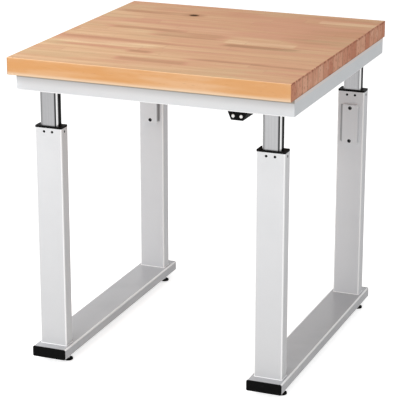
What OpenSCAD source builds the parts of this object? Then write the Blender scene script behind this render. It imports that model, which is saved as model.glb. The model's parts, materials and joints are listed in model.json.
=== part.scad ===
// Height-adjustable work table: a beech top on a steel apron, carried by four
// telescopic legs that stand in pairs on two foot rails. A hydraulic cylinder in each
// leg lifts the top. A pump under the top feeds the four cylinders through hoses, and
// a hand switch under the front apron runs it.
// Z is up, -Y is the front. The origin is on the floor, at the middle of the footprint.

/* [Worktop] */
// Width of the worktop, left to right
worktop_w = 800; // [760:5:1200]
// Depth of the worktop, front to back
worktop_d = 830; // [760:5:1200]
// Thickness of the solid beech
worktop_t = 48; // [40:1:60]
// Radius of the worktop's rounded edges
worktop_edge_r = 2.5; // [1:0.5:4]
// Depth that a screw reaches into the wood
screw_bite = 28; // [18:1:32]

/* [Apron frame] */
// Height of the apron tube
apron_h = 50; // [46:1:70]
// Thickness of the apron tube, front to back
apron_t = 25; // [20:1:32]
// Wall of the apron tube
apron_wall = 2; // [1.5:0.25:3]
// Corner radius of the apron tube
apron_r = 3; // [2:0.5:4]
// How far the worktop overhangs the front apron
apron_front_set = 42; // [30:1:60]
// How far the worktop overhangs the rear apron
apron_rear_set = 0; // [0:1:20]
// How far the worktop overhangs each side apron
apron_side_set = 6; // [2:1:20]

/* [Telescopic legs] */
// Width of the outer column tube
outer_w = 80; // [74:1:90]
// Depth of the outer column tube
outer_d = 40; // [38:1:46]
// Wall of the outer column tube
outer_wall = 2; // [1.5:0.25:2.5]
// Corner radius of the outer column tube
outer_r = 3.5; // [3:0.5:5]
// Length of the outer column tube
outer_len = 630; // [620:5:760]
// Width of the inner tube
inner_w = 53; // [50:1:54]
// Depth of the inner tube
inner_d = 30; // [29.5:0.5:31]
// Wall of the inner tube
inner_wall = 2.5; // [2:0.25:2.5]
// Corner radius of the inner tube
inner_r = 6.5; // [5:0.5:7]
// Length of the inner tube
inner_len = 680; // [640:5:700]
// Width of the black glide strip let into each narrow side of the inner tube
strip_w = 13; // [9:0.5:14]
// Thickness of the glide strips
strip_t = 1.1; // [0.8:0.1:1.4]
// Bare inner tube between the collar and the apron at rest
inner_show = 103; // [95:1:140]
// Gap between the inner tube and the front apron
leg_front_gap = 12; // [8:1:20]
// Gap between the inner tube and the rear apron
leg_rear_gap = 0; // [0:1:12]
// Gap between the inner tube and the side apron
leg_side_gap = 22.5; // [16:0.5:40]

/* [Guide bush] */
// Height of the black collar on the outer column
collar_h = 5; // [4:0.5:8]
// Length of the skirt inside the column
skirt_len = 34; // [28:1:36]
// Wall of the skirt and of the guide sleeve
bush_wall = 3; // [2:0.25:3]
// Diameter of the snap lugs that show through the column
lug_d = 7; // [6:0.5:9]
// Distance of the lugs below the top of the column
lug_drop = 10; // [9:0.5:12]
// Distance between the two lugs on a wide side
lug_pitch = 24; // [20:1:36]
// Clearance between the inner tube and the bush
slide_gap = 0.3; // [0.25:0.05:0.5]

/* [Foot rails] */
// Width of the foot rail
rail_w = 100; // [96:1:120]
// Height of the foot rail
rail_h = 30; // [28:1:40]
// Wall of the foot rail
rail_wall = 2.5; // [2:0.25:3]
// Corner radius of the foot rail
rail_r = 4; // [3:0.5:6]
// How far the foot rail runs past the column, at each end
rail_over = 32; // [28:1:60]
// Thickness of the flange on a rail's end cap
cap_flange = 3; // [2:0.5:5]
// Depth of the end cap's plug inside the rail
cap_plug = 16; // [12:1:20]

/* [Levelling feet] */
// Diameter of the foot pad
pad_d = 28; // [24:1:30]
// Height of the foot pad
pad_h = 5; // [4:0.5:7]
// Diameter of the threaded stem
stem_d = 8; // [8:0.5:10]
// Width across the flats of the hexagon under the rail
foot_hex = 13; // [13:0.5:16]
// Height of that hexagon
foot_hex_h = 6; // [5:0.5:8]
// Height of the rail above the floor with the feet wound in
foot_gap = 18; // [16:0.5:24]
// Distance of each foot from the rail's centre line
foot_x = 33; // [30:1:34]
// Distance of the feet from the rail's end
foot_set = 54; // [48:1:60]

/* [Cylinders] */
// Outer diameter of the cylinder barrel
barrel_d = 22; // [21:0.5:22]
// Bore of the cylinder barrel
bore_d = 17; // [16:0.25:18]
// Diameter of the piston rod
rod_d = 10; // [9:0.5:11]
// Height of the piston above the rail
piston_z = 512; // [500:5:560]
// Length of the piston
piston_h = 16; // [12:1:24]

/* [Accessory plates] */
// Width of the plate on a rear column
plate_w = 50; // [44:1:60]
// Height of the plate
plate_h = 120; // [116:1:140]
// Thickness of the plate
plate_t = 8; // [5:0.5:10]
// Radius of the plate's corners
plate_r = 8; // [2:0.5:9]
// Distance of the plate below the top of the column
plate_drop = 38; // [37:1:60]
// Distance between the plate's two bolt holes
plate_pitch = 100; // [90:1:104]
// Diameter of the bolt holes
plate_hole_d = 8.4; // [8.4:0.1:8.8]

/* [Hand switch] */
// Distance of the switch's middle from the middle of the right legs
switch_in = 81; // [74:1:90]
// Width of the switch housing at the top
switch_w = 53; // [50:1:60]
// Width of the switch housing at the bottom
switch_base_w = 34; // [32:1:40]
// Height of the switch housing
switch_h = 22; // [20:1:26]
// Depth of the switch housing
switch_d = 75; // [68:1:90]
// Wall of the switch housing
switch_wall = 2.5; // [2:0.25:3]
// Diameter of a push button
button_d = 8.5; // [7:0.25:9]
// Distance between the two buttons
button_pitch = 22; // [20:0.5:24]
// How far a button stands out
button_out = 1.8; // [1.6:0.1:2.5]

/* [Pump and control box] */
// Length of the pump block
pump_w = 200; // [180:5:240]
// Depth of the pump block
pump_d = 70; // [64:1:80]
// Height of the pump block
pump_h = 60; // [56:1:70]
// Distance of the pump's middle from the middle of the rear legs
pump_back = 79; // [70:1:90]
// Diameter of the motor
motor_d = 56; // [50:1:56]
// Length of the motor
motor_len = 110; // [90:5:130]
// Width of the control box
box_w = 145; // [130:5:150]
// Depth of the control box
box_d = 180; // [160:5:185]
// Height of the control box
box_h = 40; // [38:1:44]
// Diameter of the hydraulic hose
hose_d = 8; // [7:0.5:9]
// Radius of a hose bend, on the centre line
hose_bend = 25; // [24:1:28]
// Distance of the hose runs from the middle of the legs
hose_in = 95; // [94:1:98]
// Distance of the hoses below the worktop
hose_drop = 16; // [15:0.5:18]
// Diameter of the electric cables
cable_d = 5; // [4:0.5:6]

/* [Hidden] */
$fn = 48;

// Signs that name a side: left and right on X, front and rear on Y
LEFT = -1;
RIGHT = 1;
FRONT = -1;
REAR = 1;

// Clearances shared by the pieces
seat_gap = 0.15;      // a plug or skirt in its tube, each side
run_gap = 0.07;       // a rod or stem in its bore, on the radius
free_gap = 0.3;       // pieces that move past each other
cut = 1;              // how far a cutting solid runs past a face
pilot_gap = 0.2;      // a hole for a screw in wood, on the diameter
bolt_gap = 0.4;       // a hole for a small bolt or spigot, on the diameter
screw_gap = 0.6;      // a hole for a wood screw in steel, on the diameter
min_r = 0.5;          // least inner corner radius of a tube

// Heights, from the floor up
rail_z = foot_gap;
rail_top = rail_z + rail_h;
column_top = rail_top + outer_len;
collar_top = column_top + collar_h;
apron_z = collar_top + inner_show;
top_z = apron_z + apron_h;
head_t = 6;
head_z = top_z - head_t;
inner_z = head_z - inner_len;
hose_z = top_z - hose_drop;
strip_sink = 0.1;
strip_drop = 12;
strip_top = hose_z - strip_drop;

// Places along Y, first from the worktop's front edge, then from the origin
leg_front = apron_front_set + apron_t + leg_front_gap + inner_d / 2;
leg_rear = worktop_d - apron_rear_set - apron_t - leg_rear_gap - inner_d / 2;
rail_front = leg_front - outer_d / 2 - rail_over;
rail_rear = leg_rear + outer_d / 2 + rail_over;
rail_len = rail_rear - rail_front;
y_shift = -(max(worktop_d, rail_rear) + min(0, rail_front)) / 2;
worktop_y = worktop_d / 2 + y_shift;
front_edge_y = y_shift;
rear_edge_y = worktop_d + y_shift;
leg_x = worktop_w / 2 - apron_side_set - apron_t - leg_side_gap - inner_w / 2;
rail_y = (rail_front + rail_rear) / 2 + y_shift;
switch_x = leg_x - switch_in;
hose_x = leg_x - hose_in;

// The apron's outline
apron_x = worktop_w / 2 - apron_side_set;
apron_y0 = front_edge_y + apron_front_set;
apron_y1 = rear_edge_y - apron_rear_set;

// The head plates and their screws
head_w = 110;
head_d = 90;
head_inset = 12;
screw_d = 6;
screw_head_d = 11;
screw_head_h = 3.5;
screw_key = 4;
screw_key_deep = 2;
fitting_d = 12;
fitting_len = 34;
fitting_room = 4;
union_hex = 14;
union_hex_h = 7;
union_set = 2;

// The glides and the cylinders inside the legs
glide_h = 40;
glide_lip = 3;
barrel_z = inner_z + 6;
head_block = 24;
gland_lip = 3;
gland_len = 22;
seal_h = 3;
seal_deep = 2;
spigot_d = 8;
spigot_len = 14;
piston_pin_d = 6;
nut_hex = 13;
nut_h = 6.5;

// The rails and the feet
cap_wall = 2;
spanner_d = 18;
foot_bush_d = 14;
foot_disc_r = 6;
foot_disc_z0 = 1.5;
foot_disc_z1 = 3;
stem_short = 4;

// The hand switch
switch_y = apron_y0 + 1;
switch_z = apron_z - switch_h;
switch_mid = apron_z - switch_h / 2;
cover_t = 2;
switch_r = 3;
cover_w = switch_w - 2 * switch_wall - cover_t;
cover_d = switch_d - 2 * switch_wall - 2 * seat_gap;
button_in = 5;
button_lip = 1.4;
button_travel = 1.5;
contact_w = 34;
contact_d = 16;
contact_h = 13;
switch_screw_y = apron_y0 + apron_t / 2;
switch_screw_x = 14;
switch_screw_d = 4;
switch_screw_head = 7;
switch_head_h = 2.5;
button_rim = 1.1;
switch_slope = atan((switch_w - switch_base_w) / 2 / switch_h);

// The pump and the control box
bracket_t = 3;
bracket_out = 24;
pump_r = 6;
rib_t = 4;
rib_end = 10;
plug_hex = 17;
plug_h = 3;
flange_t = 6;
motor_edge = 8;
pump_y = leg_rear + y_shift - pump_back;
port_y = 15;
port_len = 12;
box_gap = 20;
box_x0 = hose_x - box_gap - box_w;
box_y0 = -60;
box_r = 5;
ear_w = 24;
ear_out = 10;
cable_z = top_z - 7;
cable_turn_y = 30;
cable_out = 8;
cable_bend = 12;
saddle_len = 10;
saddle_wall = 3;
motor_lead_x = 50;
motor_lead_y = 22;
inlet_w = 32;
inlet_h = 26;
inlet_d = 22;
inlet_y = 60;
inlet_lip = 1.5;
inlet_well = 15;
inlet_wall = 4;
inlet_r = 3;
blade_len = 12;

function leg_y(side) = (side == FRONT ? leg_front : leg_rear) + y_shift;
function rail_end_y(side) = rail_y + side * rail_len / 2;

// A rounded rectangle, centred
module rounded_rect(w, d, r) {
    square([w - 2 * r, d], center = true);
    square([w, d - 2 * r], center = true);
    for (sx = [-1, 1]) for (sy = [-1, 1])
        translate([sx * (w / 2 - r), sy * (d / 2 - r)]) circle(r);
}

// The section of a rectangular tube
module tube_section(w, d, wall, r) {
    difference() {
        rounded_rect(w, d, r);
        rounded_rect(w - 2 * wall, d - 2 * wall, max(r - wall, min_r));
    }
}

// Lays a flat outline out along Y, with the outline's own Y as height
module along_y(len) {
    rotate([90, 0, 0]) linear_extrude(len, center = true) children();
}

// Lays a flat outline out along X, with the outline's own Y as height
module along_x(len) {
    rotate([90, 0, 90]) linear_extrude(len, center = true) children();
}

// A round bar between two points
module bar(a, b, d) {
    v = b - a;
    translate(a) rotate([0, acos(v[2] / norm(v)), atan2(v[1], v[0])]) cylinder(d = d, h = norm(v));
}

// A quarter bend of a round bar, flat on Z, from angle a to a + 90
module bend(r, d, a) {
    rotate([0, 0, a]) rotate_extrude(angle = 90) translate([r, 0]) circle(d = d);
}

// Puts its children at each of the four legs
module at_legs() {
    for (sx = [LEFT, RIGHT]) for (sy = [FRONT, REAR])
        translate([sx * leg_x, leg_y(sy), 0]) children();
}

// Places of the screws in one head plate
function head_x0(sx) = sx * (apron_x - apron_t);
function head_y0(sy) = sy == FRONT ? apron_y0 + apron_t : apron_y1 - apron_t;
function head_screws(sx, sy) = [
    for (i = [head_inset, head_w - head_inset]) for (j = [head_inset, head_d - head_inset])
        [head_x0(sx) - sx * i, head_y0(sy) - sy * j]
];
bracket_screws = [
    for (sx = [LEFT, RIGHT]) for (sy = [FRONT, REAR])
        [sx * (pump_w + bracket_out) / 2, pump_y + sy * (pump_d - bracket_out) / 2]
];

box_screws = [
    for (y = [box_y0 - ear_out + 1, box_y0 + box_d + ear_out - 1]) [box_x0 + box_w / 2, y]
];

// A blind hole for a screw in the wood, a little deeper than the screw
module screw_hole() {
    translate([0, 0, -cut]) cylinder(d = screw_d + pilot_gap, h = screw_bite + 1.5 * cut);
}

// The beech slab: rounded on all its edges, with blind holes for the screws
module worktop() {
    color("burlywood") difference() {
        translate([0, worktop_y, top_z + worktop_t / 2]) intersection() {
            linear_extrude(worktop_t, center = true) rounded_rect(worktop_w, worktop_d, worktop_edge_r);
            along_y(worktop_d) rounded_rect(worktop_w, worktop_t, worktop_edge_r);
            along_x(worktop_w) rounded_rect(worktop_d, worktop_t, worktop_edge_r);
        }
        for (sx = [LEFT, RIGHT]) for (sy = [FRONT, REAR]) for (p = head_screws(sx, sy))
            translate([p[0], p[1], top_z]) screw_hole();
        for (p = concat(bracket_screws, box_screws)) translate([p[0], p[1], top_z]) screw_hole();
    }
}

// One apron tube along X, mitred at both ends; side is FRONT or REAR
module apron_long(side) {
    y = side == FRONT ? apron_y0 + apron_t / 2 : apron_y1 - apron_t / 2;
    color("gainsboro") difference() {
        translate([0, y, apron_z + apron_h / 2]) intersection() {
            along_x(2 * apron_x) tube_section(apron_t, apron_h, apron_wall, apron_r);
            linear_extrude(apron_h, center = true) polygon([
                [-apron_x, side * apron_t / 2], [apron_x, side * apron_t / 2],
                [apron_x - apron_t, -side * apron_t / 2], [-apron_x + apron_t, -side * apron_t / 2]
            ]);
        }
        if (side == FRONT) for (s = [-1, 1])
            translate([switch_x + s * switch_screw_x, switch_screw_y, apron_z - cut])
                cylinder(d = switch_screw_d + bolt_gap, h = apron_wall + 2 * cut);
    }
}

// One apron tube along Y, mitred at both ends; side is LEFT or RIGHT
module apron_short(side) {
    len = apron_y1 - apron_y0;
    color("gainsboro")
    translate([side * (apron_x - apron_t / 2), (apron_y0 + apron_y1) / 2, apron_z + apron_h / 2])
    intersection() {
        along_y(len) tube_section(apron_t, apron_h, apron_wall, apron_r);
        linear_extrude(apron_h, center = true) polygon([
            [side * apron_t / 2, -len / 2], [side * apron_t / 2, len / 2],
            [-side * apron_t / 2, len / 2 - apron_t], [-side * apron_t / 2, -len / 2 + apron_t]
        ]);
    }
}

// The steel plate on an inner tube's top, screwed to the wood
module head_plate(sx, sy) {
    color("silver") difference() {
        translate([head_x0(sx) - sx * head_w / 2, head_y0(sy) - sy * head_d / 2, head_z])
            linear_extrude(head_t) square([head_w, head_d], center = true);
        for (p = head_screws(sx, sy))
            translate([p[0], p[1], head_z - cut]) cylinder(d = screw_d + screw_gap, h = head_t + 2 * cut);
    }
}

// Puts its children at the two grooves of an inner tube; the groove opens along +X
module at_grooves() {
    for (s = [0, 1]) mirror([s, 0, 0]) translate([inner_w / 2, 0, 0]) children();
}

// The bright tube that slides out of a column, with the hole for the hose fitting
module inner_tube(sx, sy) {
    depth = strip_t + strip_sink;
    color("lightgray") difference() {
        translate([sx * leg_x, leg_y(sy), inner_z])
            linear_extrude(inner_len) tube_section(inner_w, inner_d, inner_wall, inner_r);
        translate([sx * leg_x, leg_y(sy), inner_z - cut]) at_grooves()
            translate([-depth, -strip_w / 2 - seat_gap, 0])
                cube([depth + cut, strip_w + 2 * seat_gap, strip_top - inner_z + cut]);
        translate([sx * leg_x, leg_y(sy), hose_z]) rotate([0, -sx * 90, 0])
            cylinder(d = fitting_d + fitting_room, h = inner_w);
    }
}

// The black strips in the inner tubes' grooves, which run in the guide bushes
module glide_strips() {
    color("black") at_legs() at_grooves()
        translate([-strip_t - strip_sink, -strip_w / 2, inner_z])
            cube([strip_t, strip_w, strip_top - inner_z - free_gap]);
}

// Black glides at the foot of the inner tubes, inside the columns
module lower_glides() {
    color("dimgray") at_legs() translate([0, 0, inner_z - glide_lip]) difference() {
        linear_extrude(glide_h) rounded_rect(
            outer_w - 2 * outer_wall - 2 * free_gap, outer_d - 2 * outer_wall - 2 * free_gap,
            max(outer_r - outer_wall, min_r)
        );
        translate([0, 0, glide_lip]) linear_extrude(glide_h)
            rounded_rect(inner_w + 2 * seat_gap, inner_d + 2 * seat_gap, inner_r);
        translate([0, 0, -cut]) cylinder(d = barrel_d + 5 * free_gap, h = glide_h);
    }
}

// Hydraulic barrels, hung from the head plates inside the inner tubes
module cylinder_barrels() {
    color("slategray") at_legs() difference() {
        union() {
            translate([0, 0, barrel_z]) cylinder(d = barrel_d, h = head_z - barrel_z - head_block / 2);
            translate([0, 0, head_z - head_block / 2]) cube([barrel_d, barrel_d, head_block], center = true);
        }
        translate([0, 0, barrel_z - cut]) cylinder(d = bore_d, h = head_z - barrel_z - head_block + cut);
    }
}

// Glands that close the barrels' lower ends round the rods
module cylinder_glands() {
    color("goldenrod") at_legs() translate([0, 0, barrel_z]) difference() {
        union() {
            translate([0, 0, -gland_lip]) cylinder(d = barrel_d, h = gland_lip);
            cylinder(d = bore_d - 2 * run_gap, h = gland_len);
        }
        translate([0, 0, -gland_lip - cut])
            cylinder(d = rod_d + 2 * run_gap, h = gland_len + gland_lip + 2 * cut);
    }
}

// Rods that stand on the foot rails, with a threaded spigot through the rail's top wall
module piston_rods() {
    color("whitesmoke") at_legs() translate([0, 0, rail_top]) {
        translate([0, 0, -spigot_len]) cylinder(d = spigot_d, h = spigot_len);
        cylinder(d = rod_d, h = piston_z);
        translate([0, 0, piston_z]) cylinder(d = piston_pin_d, h = piston_h);
    }
}

// Pistons on the rods' upper ends, with a groove for the seal
module pistons() {
    color("gold") at_legs() translate([0, 0, rail_top + piston_z]) difference() {
        cylinder(d = bore_d - 2 * run_gap, h = piston_h);
        translate([0, 0, -cut]) cylinder(d = piston_pin_d + 2 * run_gap, h = piston_h + 2 * cut);
        translate([0, 0, (piston_h - seal_h) / 2]) difference() {
            cylinder(d = bore_d + cut, h = seal_h);
            translate([0, 0, -cut]) cylinder(d = bore_d - 2 * seal_deep, h = seal_h + 2 * cut);
        }
    }
}

// Nuts on the rods' spigots, inside the foot rails
module rod_nuts() {
    color("darkgray") at_legs() translate([0, 0, rail_top - rail_wall - nut_h]) difference() {
        cylinder(d = nut_hex / cos(30), h = nut_h, $fn = 6);
        translate([0, 0, -cut]) cylinder(d = spigot_d + 2 * run_gap, h = nut_h + 2 * cut);
    }
}

// The outer column, drilled for the bush's lugs and, at the rear, for the plate's bolts
module outer_column(sx, sy) {
    color("lightgray") translate([sx * leg_x, leg_y(sy), rail_top]) difference() {
        linear_extrude(outer_len) tube_section(outer_w, outer_d, outer_wall, outer_r);
        translate([0, 0, outer_len - lug_drop]) {
            for (s = [-1, 1]) translate([s * lug_pitch / 2, 0, 0]) rotate([90, 0, 0])
                cylinder(d = lug_d + 2 * seat_gap, h = outer_d + 2 * cut, center = true);
            rotate([0, 90, 0]) cylinder(d = lug_d + 2 * seat_gap, h = outer_w + 2 * cut, center = true);
        }
        if (sy == REAR) translate([0, -outer_d / 2, outer_len - plate_drop - plate_h / 2])
            plate_holes(outer_wall);
    }
}

// The two bolt holes of an accessory plate, sunk back from a face
module plate_holes(depth) {
    for (s = [-1, 1]) translate([0, depth + cut, s * plate_pitch / 2]) rotate([90, 0, 0])
        cylinder(d = plate_hole_d, h = depth + plate_t + 2 * cut);
}

// The plate welded to a rear column's front, for hanging tool rails or a cross bar
module accessory_plate(sx) {
    color("gainsboro")
    translate([sx * leg_x, leg_y(REAR) - outer_d / 2, column_top - plate_drop - plate_h / 2])
    difference() {
        translate([0, -plate_t / 2, 0]) along_y(plate_t) rounded_rect(plate_w, plate_h, plate_r);
        plate_holes(0);
    }
}

// The guide bush: a collar on the column, a ribbed skirt inside it and six snap lugs
module guide_bush(sx, sy) {
    skirt_w = outer_w - 2 * outer_wall - 2 * seat_gap;
    skirt_d = outer_d - 2 * outer_wall - 2 * seat_gap;
    sleeve_w = inner_w + 2 * slide_gap;
    sleeve_d = inner_d + 2 * slide_gap;
    pocket_x0 = sleeve_w / 2 + bush_wall;
    pocket_x1 = skirt_w / 2 - bush_wall;
    color("black") translate([sx * leg_x, leg_y(sy), column_top]) difference() {
        union() {
            linear_extrude(collar_h) rounded_rect(outer_w, outer_d, outer_r);
            translate([0, 0, -skirt_len]) linear_extrude(skirt_len)
                rounded_rect(skirt_w, skirt_d, max(outer_r - outer_wall, min_r));
            translate([0, 0, -lug_drop]) {
                for (s = [-1, 1]) translate([s * lug_pitch / 2, 0, 0]) rotate([90, 0, 0])
                    cylinder(d = lug_d, h = outer_d, center = true);
                rotate([0, 90, 0]) cylinder(d = lug_d, h = outer_w, center = true);
            }
        }
        translate([0, 0, -skirt_len - cut]) linear_extrude(skirt_len + collar_h + 2 * cut)
            rounded_rect(sleeve_w, sleeve_d, inner_r + slide_gap);
        for (s = [-1, 1]) for (t = [-1, 1])
            translate([s * (pocket_x0 + pocket_x1) / 2, t * skirt_d / 4, -skirt_len - cut])
                linear_extrude(skirt_len - lug_drop - lug_d)
                    square([pocket_x1 - pocket_x0, skirt_d / 2 - 1.5 * bush_wall], center = true);
    }
}

// The foot rail: a flat rectangular tube with holes for the feet and the rod nuts
module foot_rail(sx) {
    color("darkgray") difference() {
        translate([sx * leg_x, rail_y, rail_z + rail_h / 2])
            along_y(rail_len - 2 * cap_flange) tube_section(rail_w, rail_h, rail_wall, rail_r);
        for (sy = [FRONT, REAR]) {
            for (s = [-1, 1])
                translate([sx * leg_x + s * foot_x, rail_end_y(sy) - sy * foot_set, rail_z - cut])
                    cylinder(d = stem_d + 2 * bolt_gap, h = rail_wall + 2 * cut);
            translate([sx * leg_x, leg_y(sy), rail_z - cut]) cylinder(d = spanner_d, h = rail_wall + 2 * cut);
            translate([sx * leg_x, leg_y(sy), rail_top - rail_wall - cut])
                cylinder(d = spigot_d + bolt_gap, h = rail_wall + 2 * cut);
        }
    }
}

// Black plugs in the foot rails' four ends
module rail_end_caps() {
    core_w = rail_w - 2 * rail_wall - 2 * seat_gap;
    core_h = rail_h - 2 * rail_wall - 2 * seat_gap;
    color("black") for (sx = [LEFT, RIGHT]) for (sy = [FRONT, REAR])
        translate([sx * leg_x, rail_end_y(sy), rail_z + rail_h / 2]) {
            translate([0, -sy * cap_flange / 2, 0]) along_y(cap_flange) rounded_rect(rail_w, rail_h, rail_r);
            translate([0, -sy * (cap_flange + cap_plug / 2), 0]) along_y(cap_plug)
                tube_section(core_w, core_h, cap_wall, max(rail_r - rail_wall, cap_wall + min_r));
            for (s = [-1, 1]) translate([s * core_w / 6, -sy * (cap_flange + cap_plug / 2), 0])
                cube([cap_wall, cap_plug, core_h - cap_wall], center = true);
        }
}

// Threaded bushes inside the rails, which carry the feet
module leveller_bushes() {
    color("darkgray") for (sx = [LEFT, RIGHT]) for (sy = [FRONT, REAR]) for (s = [-1, 1])
        translate([sx * leg_x + s * foot_x, rail_end_y(sy) - sy * foot_set, rail_z + rail_wall])
            difference() {
                cylinder(d = foot_bush_d, h = rail_h - 2 * rail_wall);
                translate([0, 0, -cut]) cylinder(d = stem_d + 2 * run_gap, h = rail_h);
            }
}

// A levelling foot: a moulded pad held by the disc on a steel stem; s is the side of the rail
module levelling_foot(sx, sy, s) {
    hex_z = rail_z - free_gap - foot_hex_h;
    stem_top = rail_top - rail_wall - stem_short;
    pad_r = pad_d / 2;
    neck = stem_d / 2 + run_gap;
    disc = foot_disc_r + run_gap;
    translate([sx * leg_x + s * foot_x, rail_end_y(sy) - sy * foot_set, 0]) {
        color("black") rotate_extrude() polygon([
            [0, 0], [pad_r - 1, 0], [pad_r, 1], [pad_r, pad_h - 2], [pad_r - 2, pad_h],
            [neck, pad_h], [neck, foot_disc_z1 + run_gap], [disc, foot_disc_z1 + run_gap],
            [disc, foot_disc_z0 - run_gap], [0, foot_disc_z0 - run_gap]
        ]);
        color("silver") {
            translate([0, 0, foot_disc_z0]) cylinder(r = foot_disc_r, h = foot_disc_z1 - foot_disc_z0);
            translate([0, 0, foot_disc_z0]) cylinder(d = stem_d, h = stem_top - foot_disc_z0);
            translate([0, 0, hex_z]) cylinder(d = foot_hex / cos(30), h = foot_hex_h, $fn = 6);
        }
    }
}

// The plate that hangs the pump under the wood
module pump_bracket() {
    color("silver") difference() {
        translate([0, pump_y, top_z - bracket_t / 2])
            cube([pump_w + 2 * bracket_out, pump_d, bracket_t], center = true);
        for (p = bracket_screws) translate([p[0], p[1], top_z - bracket_t - cut])
            cylinder(d = screw_d + screw_gap, h = bracket_t + 2 * cut);
    }
}

// The four-outlet pump: a ribbed alloy block with one plug for each outlet
module pump_block() {
    z1 = top_z - bracket_t;
    pitch = pump_w / 6;
    color("lightslategray") {
        translate([0, pump_y, z1 - pump_h / 2]) linear_extrude(pump_h, center = true)
            rounded_rect(pump_w, pump_d, pump_r);
        for (i = [-2 : 2]) translate([i * pitch, pump_y, z1 - pump_h - rib_t / 2])
            cube([rib_t, pump_d - 2 * rib_end, rib_t], center = true);
        for (i = [-1.5, -0.5, 0.5, 1.5]) translate([i * pitch, pump_y, z1 - pump_h - plug_h])
            cylinder(d = plug_hex / cos(30), h = plug_h, $fn = 6);
    }
}

// The motor, flanged to the front of the pump block
module pump_motor() {
    y0 = pump_y - pump_d / 2;
    z = top_z - bracket_t - pump_h / 2;
    color("dimgray") translate([0, y0, z]) rotate([90, 0, 0]) {
        linear_extrude(flange_t) rounded_rect(motor_d + 2, motor_d + 2, pump_r);
        cylinder(d = motor_d, h = motor_len - motor_edge);
        translate([0, 0, motor_len - motor_edge])
            cylinder(d1 = motor_d, d2 = motor_d - motor_edge, h = motor_edge);
    }
}

// The control box against the underside of the wood, with the pocket for its inlet
module control_box() {
    inlet_z = top_z - box_h / 2 - inlet_h / 2 - seat_gap;
    color("darkslategray") difference() {
        union() {
            translate([box_x0 + box_w / 2, box_y0 + box_d / 2, top_z - box_h / 2]) intersection() {
                linear_extrude(box_h, center = true) rounded_rect(box_w, box_d, box_r);
                union() {
                    along_y(box_d) rounded_rect(box_w, box_h, box_r);
                    translate([-box_w / 2, -box_d / 2, 0]) cube([box_w, box_d, box_h / 2]);
                }
            }
            for (p = box_screws) translate([p[0], p[1], top_z - bracket_t])
                linear_extrude(bracket_t) rounded_rect(ear_w, 2 * ear_out, box_r);
        }
        for (p = box_screws) translate([p[0], p[1], top_z - bracket_t - cut])
            cylinder(d = screw_d + screw_gap, h = bracket_t + 2 * cut);
        translate([box_x0 - cut, inlet_y - inlet_w / 2 - seat_gap, inlet_z])
            cube([inlet_d + cut, inlet_w + 2 * seat_gap, inlet_h + 2 * seat_gap]);
    }
}

// The socket for a detachable mains lead: a recess with three contact blades
module mains_inlet() {
    color("black") translate([box_x0, inlet_y, top_z - box_h / 2]) {
        difference() {
            translate([-inlet_lip, -inlet_w / 2, -inlet_h / 2]) cube([inlet_d + inlet_lip, inlet_w, inlet_h]);
            translate([-inlet_lip - cut, 0, 0]) rotate([90, 0, 90]) linear_extrude(inlet_well + cut)
                rounded_rect(inlet_w - 2 * inlet_wall, inlet_h - 2 * inlet_wall, inlet_r);
        }
        for (p = [[-7, -2], [7, -2], [0, 3]]) translate([inlet_well - blade_len, p[0] - 1, p[1] - 2])
            cube([blade_len, 2, 4]);
    }
}

// The run of one hose, drawn for a leg on the right: in from the leg, along Y, in to the pump
module hose_run(sy) {
    x0 = leg_x - barrel_d / 2 - fitting_len;
    x1 = pump_w / 2 + port_len;
    y0 = leg_y(sy);
    y1 = pump_y + sy * port_y;
    dy = -sy;
    r = hose_bend;
    translate([0, 0, hose_z]) {
        bar([x0, y0, 0], [hose_x + r, y0, 0], hose_d);
        translate([hose_x + r, y0 + dy * r, 0]) bend(r, hose_d, dy > 0 ? 180 : 90);
        bar([hose_x, y0 + dy * r, 0], [hose_x, y1 - dy * r, 0], hose_d);
        translate([hose_x - r, y1 - dy * r, 0]) bend(r, hose_d, dy > 0 ? 0 : 270);
        bar([hose_x - r, y1, 0], [x1, y1, 0], hose_d);
    }
}

// The four hoses, clipped under the wood all the way
module hydraulic_hoses() {
    color("black") for (sx = [LEFT, RIGHT]) mirror([sx < 0 ? 1 : 0, 0, 0])
        for (sy = [FRONT, REAR]) hose_run(sy);
}

// Unions at both ends of each hose, each with a hexagon
module hose_fittings() {
    color("silver") for (sx = [LEFT, RIGHT]) mirror([sx < 0 ? 1 : 0, 0, 0]) for (sy = [FRONT, REAR]) {
        translate([leg_x - barrel_d / 2, leg_y(sy), hose_z]) rotate([0, -90, 0]) {
            cylinder(d = fitting_d, h = fitting_len);
            translate([0, 0, fitting_len - union_set - union_hex_h])
                cylinder(d = union_hex / cos(30), h = union_hex_h, $fn = 6);
        }
        translate([pump_w / 2, pump_y + sy * port_y, hose_z]) rotate([0, 90, 0]) {
            cylinder(d = fitting_d, h = port_len);
            translate([0, 0, union_set]) cylinder(d = union_hex / cos(30), h = union_hex_h, $fn = 6);
        }
    }
}

// The lead from the hand switch: back, up behind the apron and across to the control box
module switch_cable() {
    y0 = switch_y + switch_d;
    y1 = y0 + cable_out;
    r = cable_bend;
    color("black") {
        bar([switch_x, y0, switch_mid], [switch_x, y1, switch_mid], cable_d);
        translate([switch_x, y1, switch_mid + r]) rotate([0, 90, 0]) bend(r, cable_d, 0);
        bar([switch_x, y1 + r, switch_mid + r], [switch_x, y1 + r, cable_z - r], cable_d);
        translate([switch_x, y1 + 2 * r, cable_z - r]) rotate([0, 90, 0]) bend(r, cable_d, 180);
        bar([switch_x, y1 + 2 * r, cable_z], [switch_x, cable_turn_y - r, cable_z], cable_d);
        translate([switch_x - r, cable_turn_y - r, cable_z]) bend(r, cable_d, 0);
        bar([switch_x - r, cable_turn_y, cable_z], [box_x0 + box_w, cable_turn_y, cable_z], cable_d);
    }
}

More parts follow.
